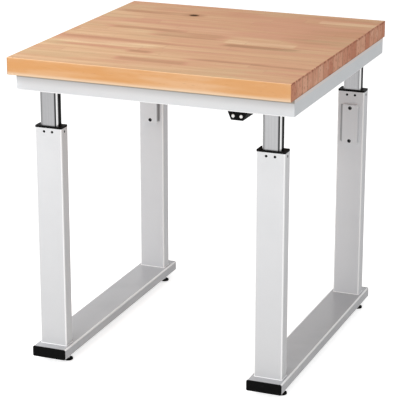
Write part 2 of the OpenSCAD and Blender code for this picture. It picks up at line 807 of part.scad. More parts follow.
// The lead between the control box and the motor
module motor_cable() {
    x0 = motor_d / 2 - 1;
    x1 = box_x0 + motor_lead_x;
    y0 = pump_y - pump_d / 2 - motor_len + motor_lead_y;
    z = top_z - bracket_t - pump_h / 2;
    r = cable_bend;
    color("black") difference() {
        union() {
            bar([x0, y0, z], [x1 - r, y0, z], cable_d);
            translate([x1 - r, y0 - r, z]) bend(r, cable_d, 0);
            bar([x1, y0 - r, z], [x1, box_y0 + box_d, z], cable_d);
        }
        translate([0, y0, z]) rotate([90, 0, 0]) cylinder(d = motor_d, h = 8 * cable_d, center = true);
    }
}

// Saddles that hold the hoses and the switch lead under the wood
module saddle(x, y, z, d) {
    w = d + 2 * saddle_wall;
    z0 = z - d / 2 - saddle_wall;
    translate([x, y, 0]) difference() {
        translate([-w / 2, -saddle_len / 2, z0]) cube([w, saddle_len, top_z - z0]);
        translate([0, 0, z]) rotate([90, 0, 0])
            cylinder(d = d + 2 * run_gap, h = saddle_len + 2 * cut, center = true);
    }
}
module cable_clips() {
    cable_y0 = switch_y + switch_d;
    color("black") {
        for (sx = [LEFT, RIGHT]) for (k = [0.25, 0.5, 0.75])
            saddle(sx * hose_x, leg_y(FRONT) + k * (pump_y - leg_y(FRONT)), hose_z, hose_d);
        for (k = [0.3, 0.72])
            saddle(switch_x, cable_y0 + k * (cable_turn_y - cable_y0), cable_z, cable_d);
    }
}

// The outline of the switch housing from the front: a trapezoid with round lower corners
module switch_outline(inset, r) {
    side = inset / cos(switch_slope);
    top = switch_w / 2 - side;
    low = switch_base_w / 2 - side + inset * tan(switch_slope);
    z0 = -switch_h / 2 + inset;
    cx = low - r * (1 - sin(switch_slope)) / cos(switch_slope);
    tx = cx + r * cos(switch_slope);
    tz = z0 + r - r * sin(switch_slope);
    polygon([
        [-cx, z0], [cx, z0], [tx, tz], [top, switch_h / 2], [-top, switch_h / 2], [-tx, tz]
    ]);
    for (s = [-1, 1]) translate([s * cx, z0 + r]) circle(r);
}

// The housing of the hand switch: a tapered tray, open at the top
module switch_housing() {
    color("black") translate([switch_x, switch_y + switch_d / 2, switch_mid]) difference() {
        along_y(switch_d) switch_outline(0, switch_r);
        along_y(switch_d - 2 * switch_wall) switch_outline(switch_wall, switch_r / 2);
        translate([0, 0, switch_h / 2])
            cube([cover_w + 2 * seat_gap, cover_d + 2 * seat_gap, 2 * cover_t], center = true);
        for (s = [-1, 1]) translate([s * button_pitch / 2, -switch_d / 2 - cut, 0]) rotate([-90, 0, 0])
            cylinder(d = button_d + 2 * free_gap, h = switch_wall + 2 * cut);
    }
}

// The lid that closes the tray and is screwed to the apron
module switch_cover() {
    color("dimgray") difference() {
        translate([switch_x, switch_y + switch_d / 2, apron_z - cover_t / 2])
            cube([cover_w, cover_d, cover_t], center = true);
        for (s = [-1, 1]) translate([switch_x + s * switch_screw_x, switch_screw_y, apron_z - cover_t - cut])
            cylinder(d = switch_screw_d + bolt_gap, h = cover_t + 2 * cut);
    }
}

// The contact block behind the two buttons
module switch_module() {
    y0 = switch_y + button_in + button_travel + free_gap;
    z0 = apron_z - cover_t - contact_h;
    color("darkgreen") difference() {
        translate([switch_x - contact_w / 2, y0, z0]) cube([contact_w, contact_d, contact_h]);
        for (s = [-1, 1]) translate([switch_x + s * switch_screw_x, switch_screw_y, z0 - cut])
            cylinder(d = switch_screw_head + 5 * free_gap, h = contact_h + 2 * cut);
    }
}

// The screws that hold the switch to the apron
module switch_screws() {
    color("silver") for (s = [-1, 1]) translate([switch_x + s * switch_screw_x, switch_screw_y, apron_z]) {
        translate([0, 0, -cover_t - switch_head_h]) cylinder(d = switch_screw_head, h = switch_head_h);
        translate([0, 0, -cover_t]) cylinder(d = switch_screw_d, h = 2 * cover_t + 2 * apron_wall);
    }
}

// The screws in the wood: four through each head plate and four through the pump bracket
module wood_screw(z, bite) {
    translate([0, 0, z - screw_head_h]) difference() {
        cylinder(d = screw_head_d, h = screw_head_h);
        translate([0, 0, -cut]) cylinder(d = screw_key / cos(30), h = screw_key_deep + cut, $fn = 6);
    }
    translate([0, 0, z]) cylinder(d = screw_d, h = top_z - z + bite);
}
module worktop_screws() {
    color("silver") {
        for (sx = [LEFT, RIGHT]) for (sy = [FRONT, REAR]) for (p = head_screws(sx, sy))
            translate([p[0], p[1], 0]) wood_screw(head_z, screw_bite);
        for (p = concat(bracket_screws, box_screws))
            translate([p[0], p[1], 0]) wood_screw(top_z - bracket_t, screw_bite);
    }
}

// A push button with a lip behind the housing's wall
module button(s) {
    color("white") translate([switch_x + s * button_pitch / 2, switch_y, switch_mid]) rotate([-90, 0, 0]) {
        translate([0, 0, -button_out]) cylinder(d = button_d, h = button_out + button_in);
        translate([0, 0, switch_wall + free_gap]) cylinder(d = button_d + 2 * button_rim, h = button_lip);
    }
}

worktop();
apron_long(FRONT);  // apron_front
apron_long(REAR);  // apron_rear
apron_short(LEFT);  // apron_left
apron_short(RIGHT);  // apron_right
head_plate(LEFT, FRONT);  // head_plate_front_left
head_plate(RIGHT, FRONT);  // head_plate_front_right
head_plate(LEFT, REAR);  // head_plate_rear_left
head_plate(RIGHT, REAR);  // head_plate_rear_right
inner_tube(LEFT, FRONT);  // inner_tube_front_left
inner_tube(RIGHT, FRONT);  // inner_tube_front_right
inner_tube(LEFT, REAR);  // inner_tube_rear_left
inner_tube(RIGHT, REAR);  // inner_tube_rear_right
glide_strips();
lower_glides();
cylinder_barrels();
cylinder_glands();
pump_bracket();
pump_block();
pump_motor();
control_box();
mains_inlet();
hydraulic_hoses();
hose_fittings();
switch_cable();
motor_cable();
cable_clips();
switch_housing();
switch_cover();
switch_module();
switch_screws();
worktop_screws();
button(LEFT);  // button_up
button(RIGHT);  // button_down
foot_rail(LEFT);  // foot_rail_left
foot_rail(RIGHT);  // foot_rail_right
rail_end_caps();
outer_column(LEFT, FRONT);  // outer_column_front_left
outer_column(RIGHT, FRONT);  // outer_column_front_right
outer_column(LEFT, REAR);  // outer_column_rear_left
outer_column(RIGHT, REAR);  // outer_column_rear_right
guide_bush(LEFT, FRONT);  // guide_bush_front_left
guide_bush(RIGHT, FRONT);  // guide_bush_front_right
guide_bush(LEFT, REAR);  // guide_bush_rear_left
guide_bush(RIGHT, REAR);  // guide_bush_rear_right
accessory_plate(LEFT);  // accessory_plate_left
accessory_plate(RIGHT);  // accessory_plate_right
piston_rods();
pistons();
rod_nuts();
leveller_bushes();
levelling_foot(LEFT, FRONT, -1);  // levelling_foot_front_left_outer
levelling_foot(LEFT, FRONT, 1);  // levelling_foot_front_left_inner
levelling_foot(RIGHT, FRONT, -1);  // levelling_foot_front_right_inner
levelling_foot(RIGHT, FRONT, 1);  // levelling_foot_front_right_outer
levelling_foot(LEFT, REAR, -1);  // levelling_foot_rear_left_outer
levelling_foot(LEFT, REAR, 1);  // levelling_foot_rear_left_inner
levelling_foot(RIGHT, REAR, -1);  // levelling_foot_rear_right_inner
levelling_foot(RIGHT, REAR, 1);  // levelling_foot_rear_right_outer
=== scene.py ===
"""A height-adjustable work table: its finishes, its finer pieces and the studio round it.

Units are metres. +Z is up, -Y is the front, and the origin is on the floor.
"""
import json
import logging
import math
from abc import ABC, abstractmethod
from dataclasses import dataclass, field
from enum import Enum
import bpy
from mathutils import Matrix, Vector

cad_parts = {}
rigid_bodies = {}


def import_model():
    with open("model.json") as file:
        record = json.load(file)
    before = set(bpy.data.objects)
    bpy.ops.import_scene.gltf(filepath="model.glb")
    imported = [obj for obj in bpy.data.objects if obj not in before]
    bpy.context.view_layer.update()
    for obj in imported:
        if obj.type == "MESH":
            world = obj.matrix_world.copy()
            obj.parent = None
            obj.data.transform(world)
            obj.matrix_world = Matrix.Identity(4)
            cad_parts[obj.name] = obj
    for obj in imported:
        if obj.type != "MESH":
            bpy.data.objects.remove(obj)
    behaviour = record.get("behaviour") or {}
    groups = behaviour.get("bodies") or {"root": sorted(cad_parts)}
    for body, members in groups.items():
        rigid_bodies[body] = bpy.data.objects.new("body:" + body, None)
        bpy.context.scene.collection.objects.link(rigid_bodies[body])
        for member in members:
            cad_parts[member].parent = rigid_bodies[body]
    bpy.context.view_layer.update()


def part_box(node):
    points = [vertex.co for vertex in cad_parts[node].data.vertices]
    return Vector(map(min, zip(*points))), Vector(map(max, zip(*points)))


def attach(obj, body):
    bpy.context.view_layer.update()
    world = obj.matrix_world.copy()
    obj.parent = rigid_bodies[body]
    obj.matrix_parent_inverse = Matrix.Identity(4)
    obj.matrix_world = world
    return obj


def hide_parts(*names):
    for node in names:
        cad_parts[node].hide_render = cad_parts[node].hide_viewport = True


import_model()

from fnmatch import fnmatch
from functools import cached_property
from typing import Callable, ClassVar, Iterable, Sequence

import bmesh
import bpy
from mathutils import Vector

logging.basicConfig(level=logging.INFO, format="%(name)s: %(message)s")
log = logging.getLogger("work_table")

Pair = tuple[float, float]
Trio = tuple[float, float, float]
Colour = Trio
Point = Trio
Piece = bpy.types.Object
MM = 0.001
# Lengths that differ by less count as the same.
SAME = 1e-6
WHITE: Colour = (1.0, 1.0, 1.0)
BLACK: Colour = (0.0, 0.0, 0.0)


# Shader maths

def linear(written: Colour) -> tuple[float, float, float, float]:
    """Turns a colour as it is written, 0 to 1 on the screen's scale, into light.

    Args:
        written: Red, green and blue as they look on a screen.

    Returns:
        The linear colour with an alpha of 1.
    """
    def channel(c: float) -> float:
        """One channel of the sRGB curve."""
        return c / 12.92 if c <= 0.04045 else ((c + 0.055) / 1.055) ** 2.4
    return (*(channel(c) for c in written), 1.0)


def as_light(value: object) -> object:
    """Turns a written colour into light, and leaves a number or a signal as it is."""
    return linear(value) if isinstance(value, tuple) else value


def maths(operation: str, swapped: bool = False) -> Callable[["Signal", "Value"], "Signal"]:
    """Makes an operator or a method that adds one Math node.

    Args:
        operation: The node's operation.
        swapped: Whether the other value comes first, as in a reflected form.

    Returns:
        The method.
    """
    def method(self: "Signal", other: "Value" = 0.0) -> "Signal":
        """The outcome of the operation."""
        first, second = (other, self) if swapped else (self, other)
        return self.graph.node("ShaderNodeMath", {"operation": operation}, {0: first, 1: second})
    return method


@dataclass
class Signal:
    """A number, colour or vector on its way through a node tree."""

    graph: "Graph"
    socket: bpy.types.NodeSocket | None

    __add__ = maths("ADD")
    __radd__ = maths("ADD", swapped=True)
    __sub__ = maths("SUBTRACT")
    __rsub__ = maths("SUBTRACT", swapped=True)
    __mul__ = maths("MULTIPLY")
    __rmul__ = maths("MULTIPLY", swapped=True)
    __truediv__ = maths("DIVIDE")
    __rtruediv__ = maths("DIVIDE", swapped=True)
    __gt__ = maths("GREATER_THAN")
    __lt__ = maths("LESS_THAN")
    floor = maths("FLOOR")
    fract = maths("FRACT")
    absolute = maths("ABSOLUTE")
    most = maths("MAXIMUM")

    def clamp(self) -> "Signal":
        """The value held between 0 and 1."""
        return self.graph.node("ShaderNodeClamp", {}, {"Value": self})

    def step(self, low: float, high: float) -> "Signal":
        """A smooth step from 0 at low to 1 at high.

        Args:
            low: Where the step starts.
            high: Where it ends; below low for a falling step.

        Returns:
            The stepped signal, 0 to 1.
        """
        if low > high:
            return 1.0 - self.step(high, low)
        return self.graph.node(
            "ShaderNodeMapRange", {"interpolation_type": "SMOOTHSTEP"},
            {"Value": self, "From Min": low, "From Max": high},
        )


Value = float | Signal
Coat = tuple[Signal, float, float, Value, object]


@dataclass(frozen=True)
class Noise:
    """A fractal noise, about 0.5 in the mean.

    Its scale is in features per metre and is stretched along each axis, its detail is in octaves,
    and its roughness is the weight of the finer ones.
    """

    scale: float
    detail: float = 3.0
    roughness: float = 0.5
    stretch: Point = (1.0, 1.0, 1.0)


class Graph:
    """The node tree of a material or a world, and the nodes that are used often."""

    def __init__(self, owner: bpy.types.Material | bpy.types.World) -> None:
        """Opens and empties a node tree.

        Args:
            owner: The material or the world.
        """
        owner.use_nodes = True
        self.tree = owner.node_tree
        self.tree.nodes.clear()

    def node(
        self, kind: str, settings: dict[str, object], sockets: dict[object, object], output: object = 0
    ) -> Signal:
        """Adds any node.

        Args:
            kind: The node's type.
            settings: Its properties, set first; "stops" fills a ramp with places and written colours.
            sockets: Its inputs by name or number, as values or signals.
            output: Which output the returned signal reads.

        Returns:
            The signal of that output, empty for a node that ends a tree.
        """
        made = self.tree.nodes.new(kind)
        for key, value in settings.items():
            if key == "stops":
                ramp = made.color_ramp
                while len(ramp.elements) < len(value):
                    ramp.elements.new(0.5)
                for element, (place, colour) in zip(ramp.elements, value):
                    element.position, element.color = place, linear(colour)
            else:
                setattr(made, key, value)
        for key, value in sockets.items():
            if isinstance(value, Signal):
                self.tree.links.new(value.socket, made.inputs[key])
            else:
                made.inputs[key].default_value = value
        return Signal(self, made.outputs[output] if made.outputs else None)

    @cached_property
    def place(self) -> Signal:
        """The object coordinates, in metres."""
        return self.node("ShaderNodeTexCoord", {}, {}, "Object")

    @cached_property
    def xyz(self) -> tuple[Signal, Signal, Signal]:
        """The object coordinates one by one."""
        return self.parts(self.place)

    def ray(self, kind: str) -> Signal:
        """1 for rays of one kind, such as Camera, else 0."""
        return self.node("ShaderNodeLightPath", {}, {}, f"Is {kind} Ray")

    def parts(self, vector: Signal) -> tuple[Signal, Signal, Signal]:
        """Splits a vector into X, Y and Z."""
        first = self.node("ShaderNodeSeparateXYZ", {}, {0: vector})
        return tuple(Signal(self, output) for output in first.socket.node.outputs)

    @cached_property
    def looks(self) -> tuple[Signal, Signal, Signal]:
        """How far the surface looks along X, Y and Z, without signs."""
        normal = self.node("ShaderNodeNewGeometry", {}, {}, "Normal")
        return tuple(part.absolute() for part in self.parts(normal))

    def rounding(self) -> Signal:
        """0 on faces square to an axis, more where an edge is rounded."""
        nx, ny, nz = self.looks
        return 1.0 - nx.most(ny).most(nz)

    def join(self, x: Value, y: Value, z: Value) -> Signal:
        """Makes a vector of three numbers."""
        return self.node("ShaderNodeCombineXYZ", {}, {0: x, 1: y, 2: z})

    def length(self, a: Value, b: Value) -> Signal:
        """The length of a step that goes a one way and b square to it."""
        step = {0: self.join(a, b, 0.0)}
        return self.node("ShaderNodeVectorMath", {"operation": "LENGTH"}, step, "Value")

    def noise(self, kind: Noise, place: Signal | None = None) -> Signal:
        """Reads a noise at a place, or else at the object coordinates."""
        scaled = {0: place or self.place, 1: kind.stretch}
        vector = self.node("ShaderNodeVectorMath", {"operation": "MULTIPLY"}, scaled)
        return self.node("ShaderNodeTexNoise", {}, {
            "Vector": vector, "Scale": kind.scale, "Detail": kind.detail, "Roughness": kind.roughness})

    def dice(self, x: Value, y: Value, z: Value) -> Signal:
        """A random number that is the same for the same three numbers."""
        return self.node(
            "ShaderNodeTexWhiteNoise", {"noise_dimensions": "3D"}, {"Vector": self.join(x, y, z)})

    def blend(self, factor: Value, a: object, b: object) -> Signal:
        """Mixes two colours.

        Args:
            factor: How much of b shows.
            a: The first colour, written or as a signal.
            b: The second colour, written or as a signal.

        Returns:
            The mixed colour.
        """
        mixed = {0: factor, 6: as_light(a), 7: as_light(b)}
        return self.node("ShaderNodeMix", {"data_type": "RGBA"}, mixed, 2)

    def coats(self, base: Signal, *coats: Coat) -> Signal:
        """Lays colours over a base, one after the other.

        Args:
            base: The colour underneath.
            coats: For each coat its mask, the mask's values where it starts and where it is full,
                how much of it shows there, and its colour.

        Returns:
            The colour with all coats on it.
        """
        for mask, start, full, share, colour in coats:
            base = self.blend(mask.step(start, full) * share, base, colour)
        return base

    def bump(self, height: Signal, depth: float) -> Signal:
        """The normal, bent by a height from 0 to 1 that stands for a depth in metres."""
        return self.node("ShaderNodeBump", {}, {"Height": height, "Distance": depth, "Strength": 1.0})

    def surface(self, **sockets: object) -> None:
        """Ends a material in a Principled shader.

        Args:
            sockets: The shader's inputs, with _ for a blank in a name; a tuple is a written colour.
        """
        named = {key.replace("_", " "): as_light(value) for key, value in sockets.items()}
        shader = self.node("ShaderNodeBsdfPrincipled", {}, named)
        self.node("ShaderNodeOutputMaterial", {}, {"Surface": shader})


# Finishes

class Finish(ABC):
    """A finish that makes its material once."""

    name: str

    @abstractmethod
    def make(self, g: Graph) -> None:
        """Builds the finish in a material's graph."""

    def material(self) -> bpy.types.Material:
        """The finish's material, made on first use."""
        made = bpy.data.materials.get(self.name)
        if made is None:
            made = bpy.data.materials.new(self.name)
            self.make(Graph(made))
        return made


@dataclass(frozen=True)
class Streak:
    """A stave, or heartwood in it, that stands out of the slab's top.

    Its edges are counted from the slab's front and its ends from the left, in millimetres. Its tone
    goes from 0 for brown to 1 for cream, and it fades out over soft at the ends and blur at the edges.
    """

    near: float
    far: float
    left: float
    right: float
    tone: float
    soft: float = 14.0
    blur: float = 6.0

    def cover(self, depth: Signal, along: Signal) -> Signal:
        """How much of the streak lies at a place.

        Args:
            depth: The distance from the slab's front, in millimetres.
            along: The distance from its left end, in millimetres.

        Returns:
            1 inside the streak, 0 outside, with soft edges.
        """
        band = depth.step(self.near - self.blur, self.near + self.blur)
        band = band * depth.step(self.far + self.blur, self.far - self.blur)
        ends = along.step(self.left - self.soft, self.left + self.soft)
        return band * ends * along.step(self.right + self.soft, self.right - self.soft)


@dataclass(frozen=True)
class GluedBeech(Finish):
    """Solid beech, glued up from long strips with staggered butt joints."""

    name: str = "oiled_beech"
    strip: float = 42 * MM
    stave: float = 0.52
    front_y: float = -0.421
    left_x: float = -0.400
    under_z: float = 0.836
    top_z: float = 0.884
    brown: Colour = (0.690, 0.485, 0.315)
    tan: Colour = (0.770, 0.555, 0.390)
    rust: Colour = (0.795, 0.540, 0.360)
    rosy: Colour = (0.835, 0.590, 0.455)
    middle: Colour = (0.850, 0.660, 0.485)
    straw: Colour = (0.810, 0.690, 0.505)
    pale: Colour = (0.890, 0.722, 0.548)
    cream: Colour = (0.930, 0.785, 0.610)
    edge_tone: Colour = (0.858, 0.628, 0.404)
    edge_pale: Colour = (0.885, 0.696, 0.520)
    # Painted highlight along the foot of the long edges.
    edge_foot: Colour = (0.930, 0.825, 0.705)
    # Painted highlight on the rounded arrises.
    arris_highlight: Colour = (0.945, 0.785, 0.610)
    end_tone: Colour = (0.935, 0.715, 0.590)
    end_dark: Colour = (0.815, 0.540, 0.425)
    end_pale: Colour = (0.970, 0.790, 0.670)
    end_spot: Colour = (0.640, 0.375, 0.275)
    glue: Colour = (0.600, 0.405, 0.285)
    fleck: Colour = (0.600, 0.400, 0.290)
    knot: Colour = (0.190, 0.110, 0.0)
    knot_at: Pair = (-0.144, 0.270)
    knot_size: Pair = (0.015, 0.012)
    knot_wave: Noise = Noise(120.0)
    sway: float = 14.0
    sway_wave: Noise = Noise(1.0, 2.0, stretch=(5.0, 9.0, 9.0))
    stave_wave: Noise = Noise(1.0)
    patches: Noise = Noise(1.6, 4.0, stretch=(2.0, 24.0, 24.0))
    warmth: Noise = Noise(1.5, 3.0, stretch=(2.0, 7.0, 7.0))
    rings: Noise = Noise(3.2, 5.0, 0.62, (0.9, 34.0, 34.0))
    fine: Noise = Noise(2.2, 4.0, 0.6, (6.0, 260.0, 260.0))
    pores: Noise = Noise(1.1, 1.0, stretch=(46.0, 720.0, 520.0))
    edge_cloud: Noise = Noise(1.2, 4.0, 0.55, (4.0, 14.0, 30.0))
    edge_waves: Noise = Noise(1.4, 4.0, 0.6, (3.0, 60.0, 110.0))
    end_cloud: Noise = Noise(1.0, 3.0, stretch=(1.0, 30.0, 40.0))
    end_pores: Noise = Noise(1.0, 2.0, stretch=(60.0, 900.0, 900.0))
    end_spots: Noise = Noise(1.0, 2.0, stretch=(1.0, 120.0, 90.0))
    end_wave: Noise = Noise(22.0)
    years_per_m: float = 300.0
    pith_z: float = 0.80
    relief: float = 0.12 * MM
    streaks: tuple[Streak, ...] = tuple(Streak(*row) for row in (
        (86, 124, 270, 470, 0.26, 16), (150, 174, 465, 690, 0.12, 50), (150, 172, 690, 790, 0.30, 40),
        (176, 206, 265, 335, 0.20, 16), (205, 230, 35, 265, 0.38, 40), (238, 282, 20, 320, 0.90, 40),
        (296, 322, 0, 350, 0.14, 40), (300, 318, 350, 540, 0.30, 40), (330, 366, 20, 330, 0.74, 40),
        (340, 369, 485, 690, -0.06, 24), (378, 420, 470, 672, 0.90, 5), (420, 462, 480, 660, 0.66, 40),
        (396, 462, 245, 455, 0.18, 34), (456, 480, 90, 315, 0.18, 30), (494, 528, 95, 450, 0.74, 30),
        (540, 564, 85, 420, 0.28, 50), (440, 650, 640, 900, 0.24, 60), (674, 708, 20, 285, 0.16, 24),
        (722, 772, 100, 215, 0.34, 30), (712, 782, 345, 450, 0.36, 30), (720, 756, 632, 900, 1.05, 6),
        (768, 806, 610, 900, 0.20, 40),
    ))

    def _tone(self, g: Graph, start: Signal) -> Signal:
        """Gives the streaks that stand out their own tones.

        Args:
            g: The material's graph.
            start: The tone that the other staves have.

        Returns:
            The tone, from 0 for brown to 1 for cream.
        """
        x, y, _ = g.xyz
        sway = g.noise(self.sway_wave) * self.sway - self.sway / 2
        depth = (y - self.front_y) / MM + sway
        along = (x - self.left_x) / MM
        tone = start
        for streak in self.streaks:
            tone = tone + streak.cover(depth, along) * (streak.tone - tone)
        return tone

    def _end_grain(self, g: Graph, row: Signal, within: Signal) -> Signal:
        """Colours the sawn ends: one piece of year rings for each row, with painted shade along their top
        edge and a painted shadow along their foot.

        Args:
            g: The material's graph.
            row: The row's number, from the front.
            within: The place inside the row, 0 to 1.

        Returns:
            The colour.
        """
        _, y, z = g.xyz
        own, bow = g.dice(row, 2.0, 8.0), g.dice(row, 11.0, 4.0)
        cloud, spots = g.noise(self.end_cloud), g.noise(self.end_spots)
        beside = (within - 0.5) * self.strip + (bow - 0.5) * 0.06
        arc = g.length(beside, z - self.pith_z - bow * 0.03)
        years = ((arc + g.noise(self.end_wave) * 0.006) * self.years_per_m).fract()
        grain = g.blend(own * 1.05 + (y - self.front_y) * 0.6 - 0.22, self.end_tone, self.end_dark)
        return g.coats(
            grain,
            (cloud, 0.50, 0.78, 0.55, self.end_pale),
            (years, 0.45, 0.95, 0.34, self.end_dark),
            (g.noise(self.end_pores), 0.55, 0.72, 0.35, self.end_dark),
            (spots, 0.54, 0.66, 0.45, self.end_spot),
            ((within - 0.5).absolute(), 0.445, 0.485, bow * 0.7 + 0.3, self.fleck),
            # painted shade: a darker band, broken up by the spots, along the ends' rounded top edge
            (z, self.top_z - 7 * MM, self.top_z - 2 * MM, spots.step(0.34, 0.56) * 0.75, self.end_spot),
            # painted shadow along the foot of the ends, under the slab: a darker band, then clouds of the
            # knot's near-black colour
            (z, self.under_z + 6 * MM, self.under_z + 2 * MM, 0.45, self.fleck),
            (z, self.under_z + 9 * MM, self.under_z, cloud.step(0.40, 0.30) * 0.75, self.knot),
        )

    def _edge_grain(self, g: Graph, own: Signal, fine: Signal, pores: Signal) -> Signal:
        """Colours the long front and rear edges, with a painted highlight along their foot.

        Args:
            g: The material's graph.
            own: The stave's own coordinates.
            fine: The fine grain.
            pores: The short dark pores.

        Returns:
            The colour.
        """
        x, _, z = g.xyz
        cloud = g.noise(self.edge_cloud, own)
        side = g.blend((cloud.step(0.36, 0.66) + x * 0.45 - 0.02).clamp(), self.edge_tone, self.edge_pale)
        return g.coats(
            side,
            (g.noise(self.edge_waves, own), 0.46, 0.74, 0.42, self.edge_tone),
            (fine, 0.52, 0.80, 0.22, self.rosy),
            (pores, 0.68, 0.78, 0.22, self.fleck),
            # painted highlight: paler towards the foot of the edge, where the lower arris catches light
            (z, self.under_z + 13 * MM, self.under_z + 1 * MM, 0.85, self.edge_foot),
        )

    def make(self, g: Graph) -> None:
        """Builds the beech: strips, staves, grain, flecks, end grain, glue lines and a knot, with a painted
        highlight on the rounded arrises.

        Args:
            g: The material's graph.
        """
        x, y, z = g.xyz
        nx, ny, _ = g.looks
        across = (y - self.front_y) / self.strip
        row, within = across.floor(), across.fract()
        short_staves = 1.0 - (row < 0.5)
        wave = g.noise(self.stave_wave, g.join(row * 4.7, 0.0, 0.0))
        along = (x + 2.0) / self.stave * (0.75 + wave * 0.5) + g.dice(row, 3.0, 7.0) * 5.0
        stave_no = along.floor() * short_staves
        pick, tilt = g.dice(row, stave_no, 1.0), g.dice(row, stave_no, 5.0)
        own = g.join(x, y + tilt * 3.0, z + pick * 7.0)
        warmth = g.noise(self.warmth)
        fine, pores = g.noise(self.fine, own), g.noise(self.pores, own)

        drift = x * 0.20 + y * 0.16
        lean = (within - 0.5) * (tilt - 0.5) * 0.30
        tone = self._tone(g, pick * 0.14 + 0.48 - drift + lean)
        tone = tone + g.noise(self.patches, own) * 0.90 - 0.45
        stops = ((0.0, self.brown), (0.20, self.tan), (0.38, self.rosy), (0.56, self.middle),
                 (0.78, self.pale), (1.0, self.cream))
        wood = g.node("ShaderNodeValToRGB", {"stops": stops}, {0: tone})
        wood = g.blend((x * 0.32 + y * 0.36 + 0.07).clamp(), wood, self.tan)
        wood = g.coats(
            wood,
            (x * 0.3 + y, 0.02, 0.34, 0.36 - tone.step(0.6, 0.9) * 0.28, self.rust),
            (warmth, 0.50, 0.66, 0.50, self.rosy),
            (warmth, 0.48, 0.34, 0.40, self.straw),
            (g.noise(self.rings, own), 0.42, 0.74, 0.42, self.tan),
            (fine, 0.50, 0.78, 0.24, self.fleck),
            (pores, 0.66, 0.76, 0.32, self.fleck),
        )
        seam = (within - 0.5).absolute().step(0.482, 0.499)
        butt = (along.fract() - 0.5).absolute().step(0.4985, 0.4998) * short_staves
        joint = seam.most(butt)
        wood = g.blend(joint * (g.dice(row, 9.0, 2.0) * 0.6 + 0.2), wood, self.glue)
        aside, behind = ((a - b) / c for a, b, c in zip((x, y), self.knot_at, self.knot_size))
        knot = g.length(aside, behind) + g.noise(self.knot_wave) * 0.5
        wood = g.coats(wood, (knot, 3.4, 1.0, 0.6, self.brown), (knot, 1.5, 0.8, 1.0, self.knot))

        end = nx.step(0.08, 0.30)
        colour = g.coats(
            wood, (ny, 0.60, 0.85, 1.0, self._edge_grain(g, own, fine, pores)),
            # painted highlight on the rounded arrises
            (g.rounding(), 0.03, 0.16, 0.8, self.arris_highlight))
        g.surface(
            Base_Color=g.blend(end, colour, self._end_grain(g, row, within)),
            Roughness=0.42 + fine * 0.12 + end * 0.18 + knot.step(1.6, 0.9) * 0.4,
            Specular_IOR_Level=0.16, Normal=g.bump(fine * 0.5 + (1.0 - joint) * 0.5, self.relief))


@dataclass(frozen=True)
class Skin(Finish):
    """Two close tints under a fine grain that roughens the surface and stands out of it.

    The shade shows where the cloud, or the grain itself if it is lined, rises from the first to the
    second number of shaded, and the third says how much. Rougher is what grain and cloud add to the
    roughness.
    """

    name: str
    tint: Colour
    shade: Colour
    roughness: float
    gloss: float = 0.5
    metallic: float = 0.0
    grain: Noise = Noise(1100.0, 3.0, 0.6)
    cloud: Noise = Noise(40.0, 4.0)
    lined: bool = False
    shaded: Trio = (0.38, 0.70, 0.60)
    rougher: Pair = (0.12, 0.0)
    relief: float = 0.12 * MM

    def over(self, g: Graph) -> tuple[Coat, ...]:
        """The coats that a kind of finish has over its tints: none here."""
        return ()

    def make(self, g: Graph) -> None:
        """Builds the finish.

        Args:
            g: The material's graph.
        """
        grain, cloud = g.noise(self.grain), g.noise(self.cloud)
        start, full, share = self.shaded
        mask = (grain if self.lined else cloud).step(start, full) * share
        by_grain, by_cloud = self.rougher
        g.surface(
            Base_Color=g.coats(g.blend(mask, self.tint, self.shade), *self.over(g)),
            Metallic=self.metallic, Roughness=self.roughness + grain * by_grain + cloud * by_cloud,
            Specular_IOR_Level=self.gloss, Normal=g.bump(grain, self.relief))


@dataclass(frozen=True)
class PowderCoat(Skin):
    """Baked powder on steel, with its fine orange peel, painted shade darkening it towards the floor and a
    painted highlight on its rounded edges.
    """

    gloss: float = 0.4
    grain: Noise = Noise(900.0, 2.0)
    cloud: Noise = Noise(9.0, 4.0, 0.55)
    shaded: Trio = (0.42, 0.75, 0.45)
    rougher: Pair = (0.0, 0.10)
    relief: float = 0.035 * MM
    speck: Noise = Noise(2400.0, 1.0)
    # Painted highlight on the rounded edges.
    rim: Colour = WHITE
    # Painted shade towards the floor: its tone, how much of it shows and the heights over which it comes in.
    floor_shade_tone: Colour = (0.760, 0.760, 0.764)
    floor_shade: float = 0.0
    floor_shade_z: Pair = (0.72, 0.02)

    def over(self, g: Graph) -> tuple[Coat, ...]:
        """Specks, painted shade that darkens towards the floor, and painted highlights on the rounded edges.

        Args:
            g: The material's graph.

        Returns:
            The coats.
        """
        return (
            (g.noise(self.speck), 0.66, 0.74, 0.16, self.shade),
            # painted shade, darker towards the floor
            (g.xyz[2], *self.floor_shade_z, self.floor_shade, self.floor_shade_tone),
            # painted highlight on the rounded edges
            (g.rounding(), 0.001, 0.012, 1.0, self.rim))


